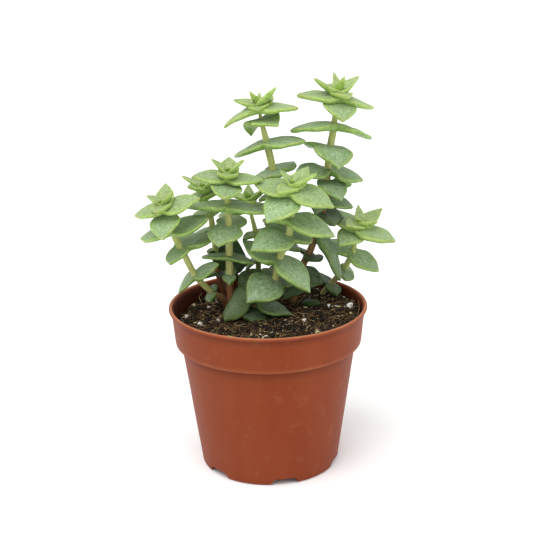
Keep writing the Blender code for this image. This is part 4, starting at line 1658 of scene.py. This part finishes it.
            # The two leaves share one joint, and each takes its own roll and width further out
            own = smooth_step(along / form.own_from)
            lateral = middle.lerp(crosswise[side], own).normalized()
            half = 0.5 * shoot.slimness * blend(0.5 * sum(widths), widths[side], own)
            half *= form.outline(share, along, vary[side])
            heel = (1.0 + form.young_heel * (1.0 - share) * (1.0 - along) ** 2) if up < 0.0 else 1.0
            lift = leaf.rise
            if not pole:
                lift = leaf.rise * along ** form.rise_power(leaf, share)
                lift += form.thick(leaf, share, along) * up * heel
                lift += form.cup(leaf, share) * half * across**2 * own
            point = centre + spreads[side] * leaf.reach * along + axis * lift
            point += lateral * (half * across + sweeps[side] * leaf.reach * along * along)
            wave = (form.wave * min(1.0, leaf.reach / form.wave_full_reach)
                    * smooth_step(along / form.wave_full_at) * noise.noise(point / form.wave_mm + seed))
            dent = (form.dent * blend(form.young_dent, 1.0, share) * smooth_step(along / form.dent_full_at)
                    * noise.noise(point / form.dent_mm + seed))
            vertex.co = point + axis * (wave + dent)
            tip = form.tip_rim * late_rise(along, form.tip_rim_from)
            lost = form.rim_lost_by_age * ages[side] + form.rim_lost_in_shade * darks[side]
            blush = rim * (1.0 - ages[side]) * late_rise(along, form.blush_from)
            for which, value in (
                    (Trait.AGE, ages[side]), (Trait.RIM, max(rim, tip) * (1.0 - lost)), (Trait.UNDER, under),
                    (Trait.TONE, tones[side]), (Trait.SHADE, darks[side]), (Trait.BLUSH, blush),
                    (Trait.LONGWAYS, signed * leaf.reach / form.longways_mm), (Trait.CROSSWAYS, across)):
                vertex[layers[which]] = value
        gather(shape, pair)

    def add_stalk(self, shape: bmesh.types.BMesh, shoot: Shoot, points: list[Vector]) -> None:
        """Add the stalk itself, with a faint swelling at each leaf pair and low ridges.

        Args:
            shape: the mesh that it is added to.
            shoot: the shoot.
            points: its route.
        """
        thick = shoot.girth * self.stem_radius
        top = points[-1].z
        radii = []
        for point in points:
            full = smooth_step((top - point.z) / self.taper_length)
            gaps = [(point.z - pair.height) / self.swelling_mm for pair in shoot.pairs]
            swell = sum(math.exp(-(gap**2)) for gap in gaps)
            radii.append(blend(self.tip_radius, thick, full) * (1.0 + self.swelling * min(1.0, swell)))
        stalk = bmesh.new()
        woody, shade = trait(stalk, Trait.WOODY), trait(stalk, Trait.SHADE)
        for vertex, index, angle in sweep(stalk, points, radii, self.sides):
            point = points[index]
            ridge = self.ridge_height * math.cos(self.ridges * angle + self.ridge_twist * point.z)
            vertex.co += (vertex.co - point) * ridge
            aged = self.straw_share * smooth_step((top - point.z) / self.straw_depth)
            bark = smooth_step((shoot.woody_from - point.z) / self.wood_blends_over + 0.5)
            vertex[woody] = max(aged, shoot.woodiness * bark)
            below = self.soil.height(point.x, point.y) + self.shade_from - point.z
            vertex[shade] = self.soil_shade * smooth_step(below / self.shade_blends_over)
        for face in stalk.faces:
            face.material_index = 1
        gather(shape, stalk)

    def build(self, leaf_finish: bpy.types.Material, rind_finish: bpy.types.Material) -> bpy.types.Object:
        """Grow the whole stem.

        Args:
            leaf_finish: the leaves' material.
            rind_finish: the stalk's material.

        Returns:
            The stem's piece.
        """
        draw = random.Random(self.seed)
        shape = bmesh.new()
        for which in (*LEAF_TRAITS, Trait.WOODY):
            trait(shape, which)
        for shoot in self.shoots:
            points = self.route(shoot)
            self.add_stalk(shape, shoot, points)
            for number in range(len(shoot.pairs)):
                self.add_pair(shape, shoot, number, points, draw)
        return add_piece(self.name.replace("stem_", "leafy_stem_"), shape, [leaf_finish, rind_finish],
                         Slot.STEM, (self.name,), sharp_degrees=75.0)


# Each stem by its CAD node. The routes and leaf pairs are the solids', and some leaves are turned,
# bent or broadened a little further to follow the photograph
STEMS: dict[str, list[Shoot]] = {
    "stem_far_left": [Shoot(
        70,
        [(-21, 12), (-24, 11, 87), (-30, 8, 92), (-38, 3, 103), (-44, -2, 118), (-48, -5, 128),
         (-50, -7, 136), (-52, -9, 144), (-52.5, -9.5, 147.2)],
        [Pair(146.8, (0, 4, 3.5), (0, 4, 3)),
         Pair(146, (0, 9, 4), (-8, 8, 7.5)),
         Pair(145, (11, 13, 6), (9, 13, 3)),
         Pair(143.5, (8, 18, -3), (12, 20, 2.5)),
         Pair(139.5, (0, 15, 0), (10, 18, -4)),
         Pair(131, (0, 20, -5), (22, 20, 1)),
         Pair(119.5, (-31, 22, -7), (-4, 15, 2)),
         Pair(103, (15, 14.8, -7, 0, 0, 0, 0.85), (16, 15.5, 2.2, 0, 0, 0, 0.85)),
         Pair(92, (-40, 5, 0.4, 0, -0.3, 0, 1.3), (-10, 7.2, 0.3, 0, -0.3, 0, 1.15))],
        0.88, woody_from=93.0, woodiness=1.0)],
    "stem_front_left": [Shoot(
        80,
        [(-19.5, 6), (-20, 6, 95), (-20, 4, 113), (-19.5, 1, 130), (-20, -1, 142), (-20, -3, 151),
         (-19, -4, 158), (-19, -4.6, 162)],
        [Pair(161.6, (0, 4, 3.2), (0, 4, 3)),
         Pair(160.5, (-3, 9, 6.5), (-4, 9, 7.5)),
         Pair(159.3, (11, 13, 4.6), (4, 13, 4.2)),
         Pair(157.3, (9, 19, -1.3), (-1, 18, 2.2)),
         Pair(154.2, (0, 17, -4.2), (8, 18, -1)),
         Pair(142, (1, 23, -1, 0, 0, 13, 0.85), (-7, 22, -2.5, 0, 0, 13, 0.85)),
         Pair(130, (0, 18, -2), (-3, 20, -1)),
         Pair(113, (-2, 15, -1.5, 0, 0, 12, 0.9), (-4, 14, -3, 0, 0, 12, 0.9)),
         Pair(102.5, (0, 7, 2), (8, 8, -2))],
        woody_from=103.0, woodiness=0.95)],
    "stem_inner_left": [Shoot(
        70,
        [(-20, 17), (-23, 17, 87), (-26.5, 17, 100), (-28, 16.5, 118), (-30, 16, 134), (-32, 15, 143),
         (-32.7, 14.3, 149.2)],
        [Pair(148.8, (0, 4, 3), (0, 4, 3)),
         Pair(148, (2, 12, 6.1, 0, 0, 15, 0.85), (0, 11, 7)),
         Pair(147, (0, 12, 4), (-25, 11.3, 5, 0, 0, 15)),
         Pair(143, (0, 13, -1), (0, 10, 2)),
         Pair(134, (0, 14, -1), (-15, 14, 2)),
         Pair(124, (0, 11, -2, 0, 0.2), (8, 12, -8, 0, 0.7, -60, 1.1)),
         Pair(112, (15, 10, -2, 0, 0.4), (110, 17.3, -7.5, 0, 0.85, -75, 1.45)),
         Pair(100, (0, 9, -2, 0, 0.6), (-5, 13, -4, 0, 0.85))],
        0.88, woody_from=110.0, woodiness=1.0)],
    "stem_tall_left": [Shoot(
        70,
        [(4, 24), (6, 22, 100), (7, 20, 120), (6, 19, 140), (4, 18, 155), (1, 18, 170), (-2, 18, 183),
         (-3, 18, 190), (-3.3, 18, 191.7)],
        [Pair(191.3, (0, 5, 5), (-20, 5.5, 8, 0, 0, 0, 1.3)),
         Pair(190.5, (5, 13, 4.5), (-8, 12, 8.5)),
         Pair(189.5, (-18, 13, 3.6, 0, 0, 0, 1.15), (20, 13, 1)),
         Pair(188.5, (14, 20, -8), (8, 21, -1.5)),
         Pair(182.5, (-120, 13, -3, 0, 0, 3, 1.65), (-120, 12.9, -8.8, 0, 0.1, 0, 1.45, 0.7)),
         Pair(170, (-2, 21, -5), (2, 21, -2)),
         Pair(155, (-20, 19, -1), (8, 18, 2)),
         Pair(142, (0, 11, -3), (0, 12, -3)),
         Pair(129, (0, 15, -3), (0, 14, -3)),
         Pair(115, (0, 10, -3), (0, 12, -3)),
         Pair(101, (0, 12, -3), (0, 9, -3))])],
    "stem_tallest": [Shoot(
        105,
        [(14, 19), (16.5, 18, 95), (20, 17.5, 105), (23.6, 17, 112.5), (26.3, 17, 122), (29.4, 17, 132),
         (31.2, 17.3, 141), (32.5, 18, 155), (34, 19, 167), (36, 20, 178),
         (37, 21, 188), (38, 21, 194), (38.4, 21, 197.2)],
        [Pair(196.8, (12, 7, 8.7), (3, 6, 8.7)),
         Pair(196, (-4, 14, 6.5), (13, 12, 8.5)),
         Pair(195, (0, 13, 3), (4, 14, 1.5)),
         Pair(193, (-2, 22, -1.5), (2, 22, -3.5)),
         Pair(191, (0, 18, -3), (-3, 20, -6)),
         Pair(178.5, (-5, 23, -5), (-1, 22, -5)),
         Pair(167, (19, 20, -2, 0, 0, 8, 1.15), (-6, 22, -7, 0, 0, 0, 1.05)),
         Pair(155, (5, 18.4, -0.8, 0, 0.1, -14, 1.15), (-5, 20.3, -4, 0, 0.05, -13, 1.1)),
         Pair(149, (-85, 14.9, -1.8, 0, -0.35, -38, 1.1), (14, 16.5, -6.8, 0, 0.05, -2, 1.1)),
         Pair(140, (55, 14, -6, 0, 0.5, 0, 0.95), (-15, 15.7, -2.7, 0, 0.1, -15)),
         Pair(132, (-90, 13, -1, 0, 0.55, 40, 1.15), (15, 15.5, -1, 0, 0.6, -10, 0.9)),
         Pair(121, (0, 9, -2, 0, 0.4), (-40, 21, -20, -0.5, 0.25, 3, 0.62, 4, 1.5)),
         Pair(109, (0, 12, -3, 0, 0.6), (30, 10, 3.5, 0, 0.6, -20, 1.2)),
         Pair(98.5, (50, 14, -13, 0, 0.6, -10, 1.6), (-30, 13.5, -1, 0, 0.45, -25, 1.3))],
        woody_from=146.0, woodiness=0.92)],
    "stem_centre": [
        Shoot(
            65,
            [(-9.5, 6), (-5.5, 3.5, 87), (3.5, 0.5, 100), (6, -1, 112), (11, -5, 126), (12.5, -7, 136),
             (13, -9, 145), (13.5, -11, 153), (13.7, -11.45, 156.6)],
            [Pair(156.2, (0, 3.5, 3), (0, 3.5, 3)),
             Pair(155.2, (-4, 8, 6.3), (10, 12, 7.3)),
             Pair(154, (-15, 13, 7), (-13, 12.5, 0.6)),
             Pair(152, (6, 20.7, 0.3), (2, 23, -3.8)),
             Pair(148.5, (0, 19, -5.5), (-11, 21, -6.5)),
             Pair(136, (-20, 19, -9), (10, 24, -5)),
             Pair(126, (-15, 20, -5), (-30, 22, -6)),
             Pair(112, (0, 22, 2.5), (-11, 23, -8)),
             Pair(100, (12, 16, -1, 0, 0.25, 0, 1.25), (-8, 22, -8.5)),
             Pair(88, (0, 10, -6), (-2, 20, 3.5)),
             Pair(84, (0, 8, 0, 0, 0.5), (22, 16, -0.5, 0, 0.4, 0, 1.15, 1)),
             Pair(82.5, (0, 8, 0.5, 0, 0.5), (-27, 18, -0.9, 0, 0.75, 0, 1, 1.5))]),
        Shoot(
            135,
            [(-9.5, 6), (-11, 4.5, 87), (-12, 2.5, 93), (-12, 2, 95.5)],
            [Pair(95.5, (0, 4, 2, 0, 0.7), (0, 4, 2, 0, 0.7)),
             Pair(94, (8, 19.5, -8, -0.8, 0.6, 4, 1.0, 0.2), (9, 20, 2.6, 0, 0.6, -30, 1.3))],
            0.9, 0.75)],
    "stem_right": [Shoot(
        45,
        [(30.5, 28.5), (34, 29, 87), (42, 26, 98), (46, 22, 108), (48, 19, 117.5), (49, 18, 123),
         (50.05, 17.5, 127.2)],
        [Pair(126.8, (0, 4, 2), (0, 4, 3)),
         Pair(126, (-25, 8, 7.5), (10, 10, 5)),
         Pair(125, (-11, 14, 9), (0, 13, 2)),
         Pair(123, (0, 19, 3), (18, 22, 0.5)),
         Pair(121, (0, 16, -4.5), (8, 17.3, -2.8)),
         Pair(108, (5, 18, -3), (13, 18, -1)),
         Pair(98, (-15, 9, -2.7), (60, 10, -0.1, 0, 0, 0, 1.25, 1.5)),
         Pair(88, (0, 12, 2, 0, 0.55), (-18, 9, -2.5, 0, 0.2, 0, 1.2))],
        0.85)],
    "stem_back": [Shoot(
        75,
        [(-6, 32), (-5, 29, 95), (-5, 27, 105), (-6, 26, 119), (-9, 26, 133), (-9.5, 26, 139.2)],
        [Pair(138.8, (0, 4, 3), (0, 5, 5)),
         Pair(138, (0, 11, 2.4), (0, 12, 7.5)),
         Pair(137, (15, 8, 7.2, 0, 0, 0, 1.1), (0, 13, 1)),
         Pair(133, (-8, 20, -3), (0, 13, -2)),
         Pair(119, (-35, 10.5, 0, 0, 0.3, -12, 0.9), (-30, 10.5, -0.2, 0, 0.15, 0, 0.85)),
         Pair(104, (35, 8, -6, 0, 0.55, 15, 1.35), (0, 7, -3, 0, 0.3)),
         Pair(91, (75, 8, 2.2, 0, 0.6, 0, 1.3), (0, 9, -2, 0, 0.5))],
        0.8)],
}


@dataclass
class DroppedLeaf:
    """A small leaf that lies on the soil at the right, darkened with painted shade."""

    soil: PottingSoil
    start: tuple[float, float] = (18.4, 14.4)
    end: tuple[float, float] = (27.6, 8.4)
    half_width: float = 3.7
    half_thickness: float = 1.6
    clear: float = 0.9
    sides: int = 20
    rings: int = 24
    shade: float = 0.8
    least_back: float = 0.7
    back_contrast: float = 2.0

    def build(self, finish: bpy.types.Material) -> bpy.types.Object:
        """Lay the leaf on the soil.

        Args:
            finish: the leaf's material.

        Returns:
            The leaf's piece.
        """
        shape = bmesh.new()
        layers = {which: trait(shape, which) for which in LEAF_TRAITS}
        start, end = Vector(self.start), Vector(self.end)
        lateral = Vector((-(end - start).y, (end - start).x)).normalized()
        ball = bmesh.ops.create_uvsphere(shape, u_segments=self.sides, v_segments=self.rings, radius=1.0)
        for vertex in ball["verts"]:
            flat = start.lerp(end, 0.5 + 0.5 * vertex.co.z) + lateral * self.half_width * vertex.co.x
            lift = self.clear + self.half_thickness * (1.0 + vertex.co.y)
            back = blend(self.least_back, 1.0, smooth_step(-self.back_contrast * vertex.co.y))
            for which, value in ((Trait.LONGWAYS, 0.5 * vertex.co.z), (Trait.CROSSWAYS, vertex.co.x),
                                 (Trait.AGE, 1.0), (Trait.SHADE, self.shade), (Trait.TONE, 1.0),
                                 (Trait.UNDER, back)):
                vertex[layers[which]] = value
            vertex.co = (flat.x, flat.y, self.soil.height(flat.x, flat.y) + lift)
        return add_piece("dropped_leaf", shape, [finish], Slot.LEAF, ("fallen_leaf",))


@dataclass
class Studio:
    """The camera, the pale floor and the soft light, in metres."""

    pitch_degrees: float = 18.0
    roll_degrees: float = 0.95
    distance: float = 0.65
    aim: tuple[float, float, float] = (-0.00042, 0.0, 0.1084)
    focal_pixels: float = 1240.0
    image_pixels: float = 533.0
    sensor_mm: float = 36.0
    floor_size: float = 40.0
    floor_gap: float = 0.0002
    sky: float = 0.86
    # Each light's name, place and power on a square metre in watts
    lights: tuple[tuple[str, tuple[float, float, float], float], ...] = (
        ("key", (-0.35, -0.5, 1.25), 1.78), ("fill", (0.9, -0.5, 0.6), 0.5))
    lit_point: tuple[float, float, float] = (0.0, 0.0, 0.1)
    softness_degrees: float = 50.0

    def camera(self) -> bpy.types.Object:
        """Place the photograph's camera.

        Returns:
            The camera's object.
        """
        data = bpy.data.cameras.new("camera")
        data.sensor_fit = "HORIZONTAL"
        data.sensor_width = self.sensor_mm
        data.lens = self.focal_pixels / self.image_pixels * self.sensor_mm
        pitch, roll = math.radians(self.pitch_degrees), math.radians(self.roll_degrees)
        back = Vector((0.0, -math.cos(pitch), math.sin(pitch)))
        right, up = Vector((1.0, 0.0, 0.0)), Vector((0.0, math.sin(pitch), math.cos(pitch)))
        turned_right = math.cos(roll) * right - math.sin(roll) * up
        turned_up = math.sin(roll) * right + math.cos(roll) * up
        place = Matrix((turned_right, turned_up, back)).transposed().to_4x4()
        place.translation = Vector(self.aim) + self.distance * back
        camera = bpy.data.objects.new("camera", data)
        camera.matrix_world = place
        bpy.context.scene.collection.objects.link(camera)
        bpy.context.scene.camera = camera
        return camera

    def floor(self) -> bpy.types.Object:
        """Lay the plain pale floor.

        Returns:
            The floor's object.
        """
        shape = bmesh.new()
        bmesh.ops.create_grid(shape, x_segments=2, y_segments=2, size=0.5 * self.floor_size)
        floor = as_object("floor", shape)
        floor.data.materials.append(WhitePaper().material())
        floor.location.z = -self.floor_gap
        floor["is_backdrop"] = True
        return floor

    def soft_light(self, name: str, place: tuple[float, float, float], strength: float) -> bpy.types.Object:
        """A broad soft light that faces the plant and lights the whole floor evenly.

        Args:
            name: its name.
            place: where it stands, in metres.
            strength: its power on each square metre, in watts.

        Returns:
            The light's object.
        """
        data = bpy.data.lights.new(name, "SUN")
        data.angle = math.radians(self.softness_degrees)
        data.energy = strength
        light = bpy.data.objects.new(name, data)
        light.location = place
        light.rotation_euler = (Vector(place) - Vector(self.lit_point)).to_track_quat("Z", "Y").to_euler()
        bpy.context.scene.collection.objects.link(light)
        return light

    def build(self) -> None:
        """Set up the camera, floor, lights and white surroundings."""
        scene = bpy.context.scene
        scene.view_settings.view_transform = "Standard"
        self.camera()
        self.floor()
        for name, place, strength in self.lights:
            self.soft_light(name, place, strength)
        world = bpy.data.worlds.new("white_room")
        world.use_nodes = True
        sky = {"Color": (1.0, 1.0, 1.0, 1.0), "Strength": self.sky}
        set_node(world.node_tree, world.node_tree.nodes["Background"], sky, {})
        scene.world = world


def write_sizes() -> None:
    """Gather the CAD box and the visual model's box as plain numbers, which are not written anywhere."""
    boxes = {"cad": CAD_BOX, "visual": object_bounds()}
    {name: [list(corner) for corner in box] for name, box in boxes.items()}


def main() -> None:
    """Build every piece in order."""
    logging.basicConfig(level=logging.INFO, format="%(name)s: %(message)s")
    Studio().build()
    pot = NurseryPot()
    pot.build(MouldedPolypropylene().material())
    soil = PottingSoil(pot)
    soil.build()
    leaf_finish, rind_finish = WaxyLeaf().material(), StemRind().material()
    for seed, (name, shoots) in enumerate(STEMS.items(), start=FIRST_STEM_SEED):
        LeafyStem(name, shoots, soil, seed).build(leaf_finish, rind_finish)
    DroppedLeaf(soil).build(WaxyLeaf("wilting_leaf", roughness=0.62, specular=0.12).material())
    write_sizes()


if __name__ == "__main__":
    main()
